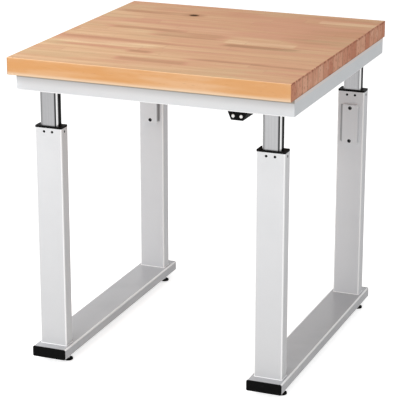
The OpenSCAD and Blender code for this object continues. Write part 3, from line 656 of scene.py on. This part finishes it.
@dataclass(frozen=True)
class ApronCoat(PowderCoat):
    """The apron's coat, with a painted shadow under the wood, painted shade on the upper front, a painted
    highlight on the lower edge and one along the top of the ends.
    """

    # Painted highlight on the rounded edges.
    rim: Colour = (0.960, 0.970, 0.980)
    # Painted shadow under the wood's overhang, on the front faces.
    gap: Colour = (0.570, 0.545, 0.495)
    # Painted shade on the upper part of the front faces, under the overhang.
    upper_shade: Colour = (0.790, 0.805, 0.818)
    # Painted highlight on the lower edge.
    lower: Colour = WHITE
    # Painted highlight along the top of the end faces.
    lit: Colour = (0.930, 0.905, 0.895)
    top_z: float = 0.836
    foot_z: float = 0.786

    def over(self, g: Graph) -> tuple[Coat, ...]:
        """The coat's own, painted shade above and a painted highlight below, and a painted shadow under the
        wood with a painted highlight on the end faces.

        Args:
            g: The material's graph.

        Returns:
            The coats.
        """
        z = g.xyz[2]
        front = g.looks[1].step(0.4, 0.7)
        return (
            *super().over(g),
            # painted shade on the upper part of the front faces
            (z, self.top_z - 36 * MM, self.top_z - 13 * MM, front, self.upper_shade),
            # painted highlight on the lower edge, where light from the floor falls
            (z, self.foot_z + 3.5 * MM, self.foot_z + 1 * MM, 1.0, self.lower),
            # painted shadow under the wood on the front faces, painted highlight there on the end faces
            (z, self.top_z - 15 * MM, self.top_z - 11 * MM, 0.9, g.blend(front, self.lit, self.gap)))


@dataclass(frozen=True)
class PlatedCoat(PowderCoat):
    """A rear column's and its accessory plate's coat: painted shade in a line at the plate's inner edge and
    in the bolt holes.
    """

    # Painted shade: a dark line on the column beside the plate's inner edge, and on that edge.
    joint: Colour = (0.400, 0.400, 0.410)
    plate_shade_x: float = 0.295
    plate_shade_inner: Pair = (6.0 * MM, 3.6 * MM)
    plate_shade_outer: Pair = (3.4 * MM, 2.2 * MM)
    plate_shade_z: Pair = (0.524, 0.640)
    back_y: float = 0.352
    # Painted shade in the bolt holes and in a thin ring round them.
    bore: Colour = (0.090, 0.090, 0.095)
    bore_shade_r: Pair = (6.0 * MM, 5.0 * MM)
    bolt_x: float = 0.320
    bolt_z: float = 0.580
    bolt_half: float = 0.050

    def over(self, g: Graph) -> tuple[Coat, ...]:
        """The coat's own, the painted shade line at the plate's inner edge and the painted shade in the bolt
        holes.

        Args:
            g: The material's graph.

        Returns:
            The coats.
        """
        x, y, z = g.xyz
        across = x.absolute()
        front = y < self.back_y
        low, high = self.plate_shade_z
        # painted shade line along the plate's inner edge, on the front faces within the plate's height
        inner = across.step(*(self.plate_shade_x - edge for edge in self.plate_shade_inner))
        shown = inner * z.step(low, low + 6 * MM) * z.step(high, high - 3 * MM) * front * 0.62
        far = g.length(across - self.bolt_x, (z - self.bolt_z).absolute() - self.bolt_half)
        return (
            *super().over(g),
            # painted shade line at the plate's inner edge
            (across, *(self.plate_shade_x + edge for edge in self.plate_shade_outer), shown, self.joint),
            # painted shade in the bolt holes
            (far, *self.bore_shade_r, front, self.bore))


@dataclass(frozen=True)
class DrawnMetal(Skin):
    """Bare metal with the fine lines of drawing or brushing along one axis."""

    metallic: float = 1.0
    grain: Noise = Noise(1.0, 3.0, 0.65, (1400.0, 1400.0, 9.0))
    cloud: Noise = Noise(26.0, 3.0)
    lined: bool = True
    shaded: Trio = (0.35, 0.70, 0.60)
    rougher: Pair = (0.10, 0.06)
    relief: float = 0.02 * MM


@dataclass(frozen=True)
class BrightTube(DrawnMetal):
    """Drawn tube with painted reflections: a dark or dull line and a bright line on its rounded corners, and
    painted dark on its grooved sides.
    """

    # Painted reflections: dark and dull lines on the corners, a bright line on them, and dark sides.
    dark: Colour = (0.240, 0.240, 0.245)
    dull: Colour = (0.560, 0.560, 0.565)
    gleam: Colour = (0.985, 0.985, 0.985)
    pitch: float = 0.640
    flat: float = 18 * MM
    rib: float = 8 * MM

    def over(self, g: Graph) -> tuple[Coat, ...]:
        """Faint ribs, and the painted reflections on the corners and sides.

        Args:
            g: The material's graph.

        Returns:
            The coats.
        """
        x, y, _ = g.xyz
        side = g.looks[0]
        own_x = ((x / self.pitch + 1.0).fract() - 0.5) * self.pitch
        ribs = ((own_x / self.rib).fract() - 0.5).absolute()
        corner = g.blend(own_x > 0.0, self.dull, self.dark)
        return (
            (ribs, 0.30, 0.46, 0.16, self.dull),
            # painted reflection: a dark or dull line where the flat front turns into the corner, weaker at
            # the rear
            (own_x.absolute(), self.flat - 1 * MM, self.flat + 1 * MM, 1.0 - (y > 0.0) * 0.75, corner),
            # painted highlight on the corners
            (side, 0.42, 0.50, 1.0, self.gleam),
            # painted dark reflection on the sides
            (side, 0.96, 0.99, 1.0, self.dark))


@dataclass(frozen=True)
class CastMetal(Skin):
    """Die-cast or enamelled metal with a sandy skin."""


@dataclass(frozen=True)
class Moulded(Skin):
    """Moulded plastic or rubber with a fine grain."""

    grain: Noise = Noise(1500.0, 2.0)
    cloud: Noise = Noise(30.0, 3.0)
    shaded: Trio = (0.40, 0.70, 0.70)
    rougher: Pair = (0.12, 0.08)
    relief: float = 0.03 * MM


BEECH = GluedBeech()
APRON_COAT = ApronCoat("apron_powder_coat", (0.885, 0.897, 0.908), (0.852, 0.869, 0.884), 0.36)
# The columns carry painted shade towards the floor.
COLUMN_COAT = PowderCoat(
    "column_powder_coat", (0.884, 0.886, 0.892), (0.856, 0.859, 0.866), 0.34, floor_shade=0.42)
PLATED_COAT = PlatedCoat("plated_column_coat", (0.862, 0.865, 0.874), (0.835, 0.838, 0.848), 0.34)
RAIL_COAT = PowderCoat("rail_powder_coat", (0.738, 0.742, 0.755), (0.698, 0.702, 0.716), 0.20, 0.55)
BRIGHT_TUBE = BrightTube("bright_drawn_tube", (0.706, 0.706, 0.712), (0.648, 0.649, 0.656), 0.22)
HARD_CHROME = DrawnMetal("hard_chrome", (0.860, 0.862, 0.870), (0.810, 0.812, 0.820), 0.08)
ALL_ROUND = Noise(500.0, 3.0, 0.65)
ZINC = DrawnMetal("zinc_plate", (0.740, 0.748, 0.760), (0.640, 0.650, 0.668), 0.30, grain=ALL_ROUND)
BRONZE = DrawnMetal(
    "turned_bronze", (0.760, 0.580, 0.330), (0.660, 0.480, 0.250), 0.26, grain=ALL_ROUND)
PUMP_ALLOY = CastMetal(
    "die_cast_alloy", (0.640, 0.648, 0.655), (0.560, 0.570, 0.580), 0.42, metallic=0.85)
MOTOR_ENAMEL = CastMetal("motor_enamel", (0.115, 0.117, 0.125), (0.080, 0.082, 0.088), 0.36)
BLACK_MOULDING = Moulded("black_moulding", (0.022, 0.022, 0.024), (0.012, 0.012, 0.014), 0.46, 0.07)
BLACK_RUBBER = Moulded(
    "black_rubber", (0.050, 0.050, 0.053), (0.034, 0.034, 0.037), 0.55, 0.20,
    grain=Noise(700.0, 2.0), relief=0.05 * MM)
WHITE_MOULDING = Moulded(
    "white_moulding", (0.950, 0.950, 0.945), (0.925, 0.925, 0.920), 0.25,
    grain=Noise(900.0, 2.0), relief=0.01 * MM)
GREEN_MOULDING = Moulded("green_moulding", (0.130, 0.330, 0.200), (0.100, 0.280, 0.165), 0.40)


# Modelling tools

# Edges that turn by more than this stay crisp.
CRISP = math.radians(35.0)


class Side(Enum):
    """Which side of a piece a selection takes."""

    TOP = Vector((0, 0, 1))
    BOTTOM = Vector((0, 0, -1))


class Kind(Enum):
    """Which elements of a mesh a selection takes."""

    VERT = "verts"
    EDGE = "edges"
    FACE = "faces"


def deselect() -> None:
    """Clears the selection, which the loaded nodes start out in."""
    if bpy.context.mode != "OBJECT":
        bpy.ops.object.mode_set(mode="OBJECT")
    bpy.ops.object.select_all(action="DESELECT")


def take(piece: Piece) -> None:
    """Makes a piece the active one, and the only one that is selected."""
    deselect()
    bpy.context.view_layer.objects.active = piece
    piece.select_set(True)


def named(piece: Piece, name: str) -> Piece:
    """Gives an object and its data a name."""
    piece.name = piece.data.name = name
    return piece


def apply(location: bool = False, rotation: bool = False, scale: bool = False) -> None:
    """Applies the selected piece's place, turn or scale to its mesh."""
    bpy.ops.object.transform_apply(location=location, rotation=rotation, scale=scale)


def edit(piece: Piece) -> None:
    """Opens a piece for editing, with nothing selected in it."""
    take(piece)
    bpy.ops.object.mode_set(mode="EDIT")
    bpy.ops.mesh.select_mode(type="FACE")
    bpy.ops.mesh.select_all(action="DESELECT")


def pick(
    piece: Piece, kind: Kind,
    wanted: Callable[[bmesh.types.BMVert | bmesh.types.BMEdge | bmesh.types.BMFace], bool],
) -> int:
    """Selects elements of a piece in edit mode, and nothing else.

    Args:
        piece: The piece that is open for editing.
        kind: Whether vertices, edges or faces are taken.
        wanted: Says whether one of them is taken.

    Returns:
        How many were taken.
    """
    bpy.ops.mesh.select_mode(type=kind.name)
    mesh = bmesh.from_edit_mesh(piece.data)
    elements = getattr(mesh, kind.value)
    for element in elements:
        element.select_set(False)
    taken = [element for element in elements if wanted(element)]
    for element in taken:
        element.select_set(True)
    mesh.select_flush_mode()
    bmesh.update_edit_mesh(piece.data)
    return len(taken)


def level(vert: bmesh.types.BMVert) -> float:
    """A vertex's rounded height."""
    return round(vert.co.z, 6)


def levels(piece: Piece) -> list[float]:
    """The rounded heights at which an upright bar in edit mode has rings, from the lowest up."""
    return sorted({level(vert) for vert in bmesh.from_edit_mesh(piece.data).verts})


def rise(edge: bmesh.types.BMEdge) -> float:
    """How far an edge climbs."""
    return abs(edge.verts[0].co.z - edge.verts[1].co.z)


def upright(edge: bmesh.types.BMEdge) -> bool:
    """A test for a bar's long upright edges."""
    return rise(edge) > 10 * MM


def facing(side: Side) -> Callable[[bmesh.types.BMFace], bool]:
    """A test for faces that look one way."""
    return lambda face: face.normal.dot(side.value) > 0.99


def dish(*rings: Pair) -> None:
    """Insets the selected face ring by ring, and shifts what is left of it after each.

    Args:
        rings: For each ring its width and how far up the face inside it goes.
    """
    for width, lift in rings:
        bpy.ops.mesh.inset(thickness=width)
        bpy.ops.transform.translate(value=(0, 0, lift))


def close() -> None:
    """Merges doubles, turns the faces out and leaves edit mode."""
    bpy.ops.mesh.select_all(action="SELECT")
    bpy.ops.mesh.remove_doubles(threshold=0.005 * MM)
    bpy.ops.mesh.normals_make_consistent(inside=False)
    bpy.ops.object.mode_set(mode="OBJECT")


def settle(piece: Piece) -> Piece:
    """Applies a piece's place to its mesh and smooths its shading, but for its sharp edges.

    Args:
        piece: The piece.

    Returns:
        The same piece, with its origin at the table's.
    """
    take(piece)
    apply(location=True, rotation=True, scale=True)
    bpy.ops.object.shade_smooth_by_angle(angle=CRISP)
    return piece


def modify(piece: Piece, kind: str, **settings: object) -> None:
    """Adds a modifier and applies it.

    Args:
        piece: The piece.
        kind: The modifier's type.
        settings: Its properties.
    """
    take(piece)
    modifier = piece.modifiers.new(kind.title(), kind)
    for key, value in settings.items():
        setattr(modifier, key, value)
    bpy.ops.object.modifier_apply(modifier=modifier.name)


def unite(pieces: Sequence[Piece]) -> Piece:
    """Joins pieces into the first of them."""
    deselect()
    for piece in pieces:
        piece.select_set(True)
    bpy.context.view_layer.objects.active = pieces[0]
    bpy.ops.object.join()
    return pieces[0]


def copy_to(piece: Piece, name: str, move: Point) -> Piece:
    """Copies a settled piece, with a mesh of its own.

    Args:
        piece: The piece that is repeated.
        name: The copy's name.
        move: How far the copy is moved.

    Returns:
        The copy.
    """
    twin = piece.copy()
    twin.data = piece.data.copy()
    named(twin, name)
    bpy.context.scene.collection.objects.link(twin)
    twin.location = move
    return settle(twin)


def round_bar(name: str, radius: float, low: float, high: float, sides: int = 40) -> Piece:
    """Adds an upright cylinder round the origin.

    Args:
        name: The piece's name.
        radius: Its radius.
        low: Its lower end.
        high: Its upper end.
        sides: How many sides it has.

    Returns:
        The piece, with its place applied.
    """
    deselect()
    bpy.ops.mesh.primitive_cylinder_add(
        vertices=sides, radius=radius, depth=high - low, location=(0, 0, (low + high) / 2))
    apply(location=True)
    return named(bpy.context.object, name)


def block(name: str, low: Point, high: Point) -> Piece:
    """Adds a box between two corners.

    Args:
        name: The piece's name.
        low: Its lowest corner.
        high: Its highest corner.

    Returns:
        The piece, with its size applied.
    """
    deselect()
    middle = [(a + b) / 2 for a, b in zip(low, high)]
    bpy.ops.mesh.primitive_cube_add(size=1.0, location=middle)
    piece = named(bpy.context.object, name)
    piece.scale = [b - a for a, b in zip(low, high)]
    apply(scale=True)
    return piece


# Sub-assemblies

@dataclass
class Assembly(ABC):
    """A part of the table: it builds its own pieces and dresses them and its CAD nodes."""

    pieces: list[Piece] = field(default_factory=list)
    wears: ClassVar[dict[Finish, tuple[str, ...]]] = {}

    @abstractmethod
    def build(self) -> None:
        """Builds the pieces and dresses each."""

    def dress(self) -> None:
        """Gives CAD nodes the finishes that wears has for their names, where * stands for any end."""
        for finish, names in self.wears.items():
            for node in bpy.data.objects:
                if any(fnmatch(node.name, name) for name in names):
                    for slot in node.material_slots:
                        slot.material = finish.material()
                    log.info("node %s in %s", node.name, finish.name)

    def keep(
        self, piece: Piece, body: str, slot: str, finish: Finish, nodes: Iterable[str] = ()
    ) -> None:
        """Dresses a finished piece and fixes it to its body.

        Args:
            piece: The piece.
            body: The body that it rides on.
            slot: The record's material slot; not used.
            finish: Its finish.
            nodes: The CAD nodes that it stands for.
        """
        piece.data.materials.clear()
        piece.data.materials.append(finish.material())
        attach(piece, body)
        if nodes:
            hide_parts(*nodes)
        self.pieces.append(piece)
        log.info("%s rides on %s in %s", piece.name, body, finish.name)


CORNERS = ("front_left", "front_right", "rear_left", "rear_right")


@dataclass
class WorktopAndApron(Assembly):
    """The beech slab, the apron tubes under it and the plates and screws that join them."""

    wears = {BEECH: ("worktop",), APRON_COAT: ("apron_*",), ZINC: ("worktop_screws", "head_plate_*")}

    def build(self) -> None:
        """The CAD's own solids have the right shape here."""


@dataclass
class TelescopicLegs(Assembly):
    """Columns, bright inner tubes, guide bushes and the cylinders inside."""

    wears = {
        COLUMN_COAT: ("outer_column_front_*",), PLATED_COAT: ("outer_column_rear_*", "accessory_plate_*"),
        BRIGHT_TUBE: ("inner_tube_*",), BLACK_MOULDING: ("guide_bush_*", "glide_strips", "lower_glides"),
        HARD_CHROME: ("piston_rods",), BRONZE: ("cylinder_glands", "pistons"),
        ZINC: ("cylinder_barrels", "rod_nuts"),
    }
    column: Pair = (80 * MM, 40 * MM)
    column_r: float = 3.5 * MM
    bead: float = 1.6 * MM
    rail_top: float = 48 * MM

    def build(self) -> None:
        """Lays a weld bead round the foot of each column."""
        for corner in CORNERS:
            low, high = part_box(f"outer_column_{corner}")
            x, y, _ = (low + high) / 2
            deselect()
            bpy.ops.mesh.primitive_plane_add(size=1.0, location=(x, y, self.rail_top))
            piece = named(bpy.context.object, f"weld_bead_{corner}")
            piece.scale = (*self.column, 1.0)
            apply(scale=True)
            edit(piece)
            bpy.ops.mesh.select_all(action="SELECT")
            bpy.ops.mesh.bevel(offset=self.column_r, segments=5, affect="VERTICES")
            bpy.ops.mesh.delete(type="ONLY_FACE")
            bpy.ops.object.mode_set(mode="OBJECT")
            bpy.ops.object.convert(target="CURVE")
            piece = bpy.context.object
            piece.data.bevel_depth = self.bead
            piece.data.bevel_resolution = 3
            bpy.ops.object.convert(target="MESH")
            self.keep(settle(bpy.context.object), "base", "column_paint", COLUMN_COAT)


@dataclass
class FootRails(Assembly):
    """The two foot rails, their caps and the eight levelling feet."""

    wears = {
        RAIL_COAT: ("foot_rail_*",), BLACK_MOULDING: ("rail_end_caps",), ZINC: ("leveller_bushes",)}
    pad_r: float = 14 * MM
    pad_h: float = 5 * MM
    pad_rim: float = 2.2 * MM
    pad_slope: float = 4.6 * MM
    pad_dip: float = 0.7 * MM
    pad_bore_r: float = 4.07 * MM
    pad_bore_h: float = 2.0 * MM
    pad_edge: float = 0.8 * MM
    stem_r: float = 4 * MM
    stem_z: Pair = (3.1 * MM, 41.5 * MM)
    hex_flats: float = 13 * MM
    hex_z: Pair = (11.7 * MM, 17.7 * MM)
    hex_edge: float = 0.5 * MM
    thread_pitch: float = 1.25 * MM
    thread_core: float = 0.86

    def _pad(self) -> Piece:
        """Models one pad: a rounded disc with a recessed top and a bore for the stem."""
        pad = round_bar("foot_pad", self.pad_r, 0.0, self.pad_h, sides=48)
        edit(pad)
        pick(pad, Kind.FACE, facing(Side.TOP))
        dish((self.pad_rim, -self.pad_dip), (self.pad_slope, self.pad_dip))
        bpy.ops.mesh.inset(thickness=self.pad_r - self.pad_rim - self.pad_slope - self.pad_bore_r)
        bpy.ops.mesh.extrude_region_move(TRANSFORM_OT_translate={"value": (0, 0, -self.pad_bore_h)})
        pick(pad, Kind.EDGE, lambda edge: rise(edge) < SAME
             and all(v.co.xy.length > self.pad_r * 0.99 for v in edge.verts))
        bpy.ops.mesh.bevel(offset=self.pad_edge, segments=3)
        close()
        return settle(pad)

    def _stem(self) -> Piece:
        """Models one stem: a bar with a ring for each turn of its thread, and a hexagon."""
        stem = round_bar("foot_stem", self.stem_r, *self.stem_z, sides=28)
        edit(stem)
        pick(stem, Kind.EDGE, upright)
        bpy.ops.mesh.subdivide(number_cuts=int((self.stem_z[1] - self.pad_h) / self.thread_pitch * 2))
        roots = levels(stem)[1:-1:2]
        pick(stem, Kind.VERT, lambda vert: level(vert) in roots)
        bpy.ops.transform.resize(value=(self.thread_core, self.thread_core, 1.0))
        close()
        hexagon = round_bar("foot_hex", self.hex_flats / 2 / math.cos(math.pi / 6), *self.hex_z, sides=6)
        modify(hexagon, "BEVEL", width=self.hex_edge, segments=2)
        return settle(unite([settle(stem), settle(hexagon)]))

    def build(self) -> None:
        """Models one foot and sets a copy of it at each of the eight places."""
        pad, stem = self._pad(), self._stem()
        for corner in CORNERS:
            for side in ("outer", "inner"):
                node = f"levelling_foot_{corner}_{side}"
                low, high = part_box(node)
                x, y, _ = (low + high) / 2
                at = (x, y, 0.0)
                one = copy_to(pad, f"foot_pad_{corner}_{side}", at)
                self.keep(one, node, "foot_black", BLACK_MOULDING, [node])
                two = copy_to(stem, f"foot_stem_{corner}_{side}", at)
                self.keep(two, node, "zinc_steel", ZINC, [node])
        for spare in (pad, stem):
            bpy.data.objects.remove(spare, do_unlink=True)


@dataclass
class LiftingDrive(Assembly):
    """The pump, its motor, the control box, hoses, leads and saddles under the top."""

    wears = {
        PUMP_ALLOY: ("pump_block",), ZINC: ("pump_bracket", "hose_fittings"),
        BLACK_MOULDING: ("mains_inlet", "cable_clips"),
        BLACK_RUBBER: ("hydraulic_hoses", "switch_cable", "motor_cable"),
    }
    ribs: int = 16
    rings_per_rib: int = 4
    rib_depth: float = 0.93
    drum_in: float = 1 * MM
    flange: float = 6 * MM
    motor_edge: float = 4 * MM
    ear: float = 10 * MM
    ear_half: float = 12 * MM
    ear_thick: float = 3 * MM
    ear_edge: float = 1 * MM
    lid: float = 11 * MM
    joint: float = 1.0 * MM
    neck_in: float = 1.5 * MM
    neck_lap: float = 1 * MM
    box_edge: float = 3 * MM
    inlet_gap: float = 0.15 * MM
    panel_in: float = 16 * MM
    panel_step: float = 1.2 * MM
    panel_sunk: float = 0.8 * MM
    slots: int = 9
    slot_rim: float = 0.6 * MM
    slot_deep: float = 4 * MM

    def _motor(self) -> Piece:
        """Models the motor: a drum with cooling ribs round it, on a flange."""
        low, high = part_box("pump_motor")
        x, _, z = (low + high) / 2
        drum = round_bar("ribbed_motor", (high.x - low.x) / 2 - self.drum_in, 0.0, high.y - low.y, sides=48)
        edit(drum)
        pick(drum, Kind.EDGE, upright)
        step = self.rings_per_rib
        bpy.ops.mesh.subdivide(number_cuts=step * self.ribs)
        rings = levels(drum)
        grooves = {ring for i, ring in enumerate(rings[step:-2 * step]) if i % step < step // 2}
        pick(drum, Kind.VERT, lambda vert: level(vert) in grooves)
        bpy.ops.transform.resize(value=(self.rib_depth, self.rib_depth, 1.0))
        pick(drum, Kind.EDGE, lambda edge: all(v.co.z < rings[0] + SAME for v in edge.verts)
             and any(len(face.verts) > 4 for face in edge.link_faces))
        bpy.ops.mesh.bevel(offset=self.motor_edge, segments=4)
        close()
        drum.rotation_euler = (math.pi / 2, 0, math.pi)
        drum.location = (x, low.y, z)
        settle(drum)
        plate = block("motor_flange", (low.x, high.y - self.flange, low.z), high)
        modify(plate, "BEVEL", width=self.motor_edge, segments=3)
        return unite([drum, settle(plate)])

    def _box_lid(self, low: Vector, high: Vector) -> Piece:
        """Models the control box's lid: a shallow tray with a panel of cooling slots.

        Args:
            low: The lid's lowest corner.
            high: The lid's highest corner.

        Returns:
            The lid.
        """
        lid = block("box_lid", low, high)
        modify(lid, "BEVEL", width=self.box_edge, segments=3)
        edit(lid)
        under = facing(Side.BOTTOM)
        pick(lid, Kind.FACE, under)
        bpy.ops.mesh.inset(thickness=self.panel_in)
        bpy.ops.mesh.inset(thickness=self.panel_step, depth=-self.panel_sunk)
        panel = next(face for face in bmesh.from_edit_mesh(lid.data).faces if face.select)
        across = [edge.index for edge in panel.edges if abs(edge.verts[0].co.y - edge.verts[1].co.y) < SAME]
        pick(lid, Kind.EDGE, lambda edge: edge.index in across)
        bpy.ops.mesh.subdivide(number_cuts=2 * self.slots)
        margin = self.box_edge + self.panel_in + self.panel_step
        pitch = (high.x - low.x - 2 * margin) / (2 * self.slots + 1)
        strip_area = 1.5 * pitch * (high.y - low.y)
        found = pick(lid, Kind.FACE, lambda face: under(face) and face.calc_area() < strip_area
                     and round(face.calc_center_median().x / pitch) % 2 == 0)
        log.info("the lid has %d slots", found)
        bpy.ops.mesh.inset(thickness=self.slot_rim, use_individual=True)
        bpy.ops.mesh.extrude_region_move(TRANSFORM_OT_translate={"value": (0, 0, self.slot_deep)})
        close()
        return settle(lid)

    def _control_box(self) -> Piece:
        """Models the control box: a tray with ears and inlet pocket, a joint and a slotted lid."""
        low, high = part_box("control_box")
        inlet_low, inlet_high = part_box("mains_inlet")
        front, back = low.y + self.ear, high.y - self.ear
        under, over = low.z + self.lid, low.z + self.lid + self.joint
        middle, gap = (low.x + high.x) / 2, self.inlet_gap
        tray = block("control_box_casing", (low.x, front, over), (high.x, back, high.z))
        modify(tray, "BEVEL", width=self.box_edge / 2, segments=2)
        cutter = block("box_cutter", (low.x - self.ear / 2, inlet_low.y - gap, inlet_low.z - gap),
                       (inlet_high.x, inlet_high.y + gap, inlet_high.z + gap))
        neck = block("box_neck", (low.x + self.neck_in, front + self.neck_in, under - self.neck_lap),
                     (high.x - self.neck_in, back - self.neck_in, over + self.neck_lap))
        lid = self._box_lid(Vector((low.x, front, low.z)), Vector((high.x, back, under)))
        ears = block("box_ears", (middle - self.ear_half, low.y, high.z - self.ear_thick),
                     (middle + self.ear_half, high.y, high.z))
        modify(ears, "BEVEL", width=self.ear_edge, segments=2)
        for piece in (tray, neck):
            modify(piece, "BOOLEAN", operation="DIFFERENCE", object=cutter, solver="EXACT")
        bpy.data.objects.remove(cutter, do_unlink=True)
        return unite([settle(tray), settle(neck), lid, settle(ears)])

    def build(self) -> None:
        """Models the ribbed motor and the control box."""
        self.keep(self._motor(), "lift", "motor_paint", MOTOR_ENAMEL, ["pump_motor"])
        self.keep(self._control_box(), "lift", "black_plastic", BLACK_MOULDING, ["control_box"])


@dataclass
class HandSwitch(Assembly):
    """The hand switch under the front apron, with its two push buttons."""

    wears = {
        BLACK_MOULDING: ("switch_housing", "switch_cover"), GREEN_MOULDING: ("switch_module",),
        ZINC: ("switch_screws",),
    }
    rim: float = 1.1 * MM
    slope: float = 1.3 * MM
    dips: Pair = (0.14 * MM, 0.21 * MM)
    edge: float = 0.6 * MM
    collar_under: Pair = (6.0 * MM, 4.6 * MM)

    def _button(self, node: str) -> Piece:
        """Models one push button with a rounded rim, a shallow dish and a collar.

        Args:
            node: The CAD node that it stands for.

        Returns:
            The button.
        """
        low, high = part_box(node)
        x, _, z = (low + high) / 2
        collar_r, depth = (high.x - low.x) / 2, high.y - low.y
        radius = collar_r - self.rim
        piece = round_bar(node.replace("button", "push_button"), radius, 0.0, depth)
        edit(piece)
        pick(piece, Kind.FACE, facing(Side.TOP))
        dish((self.rim, -self.dips[0]), (self.slope, -self.dips[1]))
        pick(piece, Kind.EDGE, lambda edge: all(
            v.co.z > depth - SAME and v.co.xy.length > radius * 0.99 for v in edge.verts))
        bpy.ops.mesh.bevel(offset=self.edge, segments=4)
        close()
        collar = round_bar("collar", collar_r, *(depth - under for under in self.collar_under))
        unite([piece, settle(collar)])
        piece.rotation_euler = (math.pi / 2, 0, 0)
        piece.location = (x, high.y, z)
        return settle(piece)

    def build(self) -> None:
        """Models the two buttons."""
        for node in ("button_up", "button_down"):
            self.keep(self._button(node), node, "white_plastic", WHITE_MOULDING, [node])


# Studio

@dataclass(frozen=True)
class Lamp:
    """One soft square lamp, with its power in watts."""

    name: str
    at: Point
    size: float
    energy: float
    to: Point = (0.0, 0.0, 0.45)


@dataclass
class Studio:
    """The pale floor, the soft lamps and the camera at the photograph's angle."""

    camera_at: Point = (1.7623, -4.4014, 1.9215)
    yaw: float = 22.003
    pitch: float = 17.685
    lens: float = 156.36
    sensor: float = 36.0
    sight: float = 100.0
    world: float = 0.54
    floor_size: float = 60.0
    floor_z: float = -0.5 * MM
    glow: float = 0.66
    mirrored: float = 0.62
    lamps: tuple[Lamp, ...] = (
        Lamp("key_lamp", (-0.6, -5.3, 2.0), 2.2, 95.0),
        Lamp("top_lamp", (-1.2, -0.8, 2.7), 1.6, 24.0),
        Lamp("edge_lamp", (4.2, -2.2, 1.6), 1.0, 9.0),
    )

    def _world(self) -> None:
        """A white room: plain light on the table, pure white to the camera."""
        world = bpy.data.worlds.new("studio")
        bpy.context.scene.world = world
        g = Graph(world)
        white = g.ray("Camera").most(g.ray("Transmission")).most(g.ray("Glossy"))
        level = g.node("ShaderNodeMapRange", {}, {"Value": white, "To Min": self.world, "To Max": 1.0})
        back = g.node("ShaderNodeBackground", {}, {"Color": linear(WHITE), "Strength": level})
        g.node("ShaderNodeOutputWorld", {}, {"Surface": back})

    def _floor(self) -> None:
        """A wide white floor that keeps a soft shadow of the table."""
        deselect()
        bpy.ops.mesh.primitive_plane_add(size=self.floor_size, location=(0, 0, self.floor_z))
        floor = named(bpy.context.object, "studio_floor")
        paint = bpy.data.materials.new("studio_floor")
        g = Graph(paint)
        glow = g.blend(g.ray("Glossy"), BLACK, (self.mirrored,) * 3)
        g.surface(
            Base_Color=(0.95, 0.95, 0.95), Roughness=0.9, Specular_IOR_Level=0.0,
            Emission_Color=g.blend(g.ray("Camera"), glow, WHITE), Emission_Strength=self.glow)
        floor.data.materials.append(paint)

    def _hang(self, lamp: Lamp) -> None:
        """Hangs one soft lamp."""
        aim = Vector(lamp.to) - Vector(lamp.at)
        turn = aim.to_track_quat("-Z", "Y").to_euler()
        bpy.ops.object.light_add(type="AREA", location=lamp.at, rotation=turn)
        data = named(bpy.context.object, lamp.name).data
        data.shape, data.size, data.energy = "SQUARE", lamp.size, lamp.energy

    def _camera(self) -> None:
        """The camera, placed by the photograph's perspective."""
        turn = (math.radians(90.0 - self.pitch), 0.0, math.radians(self.yaw))
        bpy.ops.object.camera_add(location=self.camera_at, rotation=turn)
        camera = named(bpy.context.object, "camera")
        camera.data.lens, camera.data.sensor_width = self.lens, self.sensor
        camera.data.sensor_fit = "HORIZONTAL"
        camera.data.clip_end = self.sight
        bpy.context.scene.camera = camera

    def build(self) -> None:
        """Sets up the whole studio."""
        self._world()
        self._floor()
        for lamp in self.lamps:
            self._hang(lamp)
        self._camera()
        bpy.context.scene.view_settings.view_transform = "Standard"


def main() -> None:
    """Builds the studio and the table, in order."""
    Studio().build()
    parts: list[Assembly] = [
        WorktopAndApron(), TelescopicLegs(), FootRails(), LiftingDrive(), HandSwitch()]
    for part in parts:
        part.build()
        part.dress()
        log.info("%s: %d new pieces", type(part).__name__, len(part.pieces))


if __name__ == "__main__":
    main()
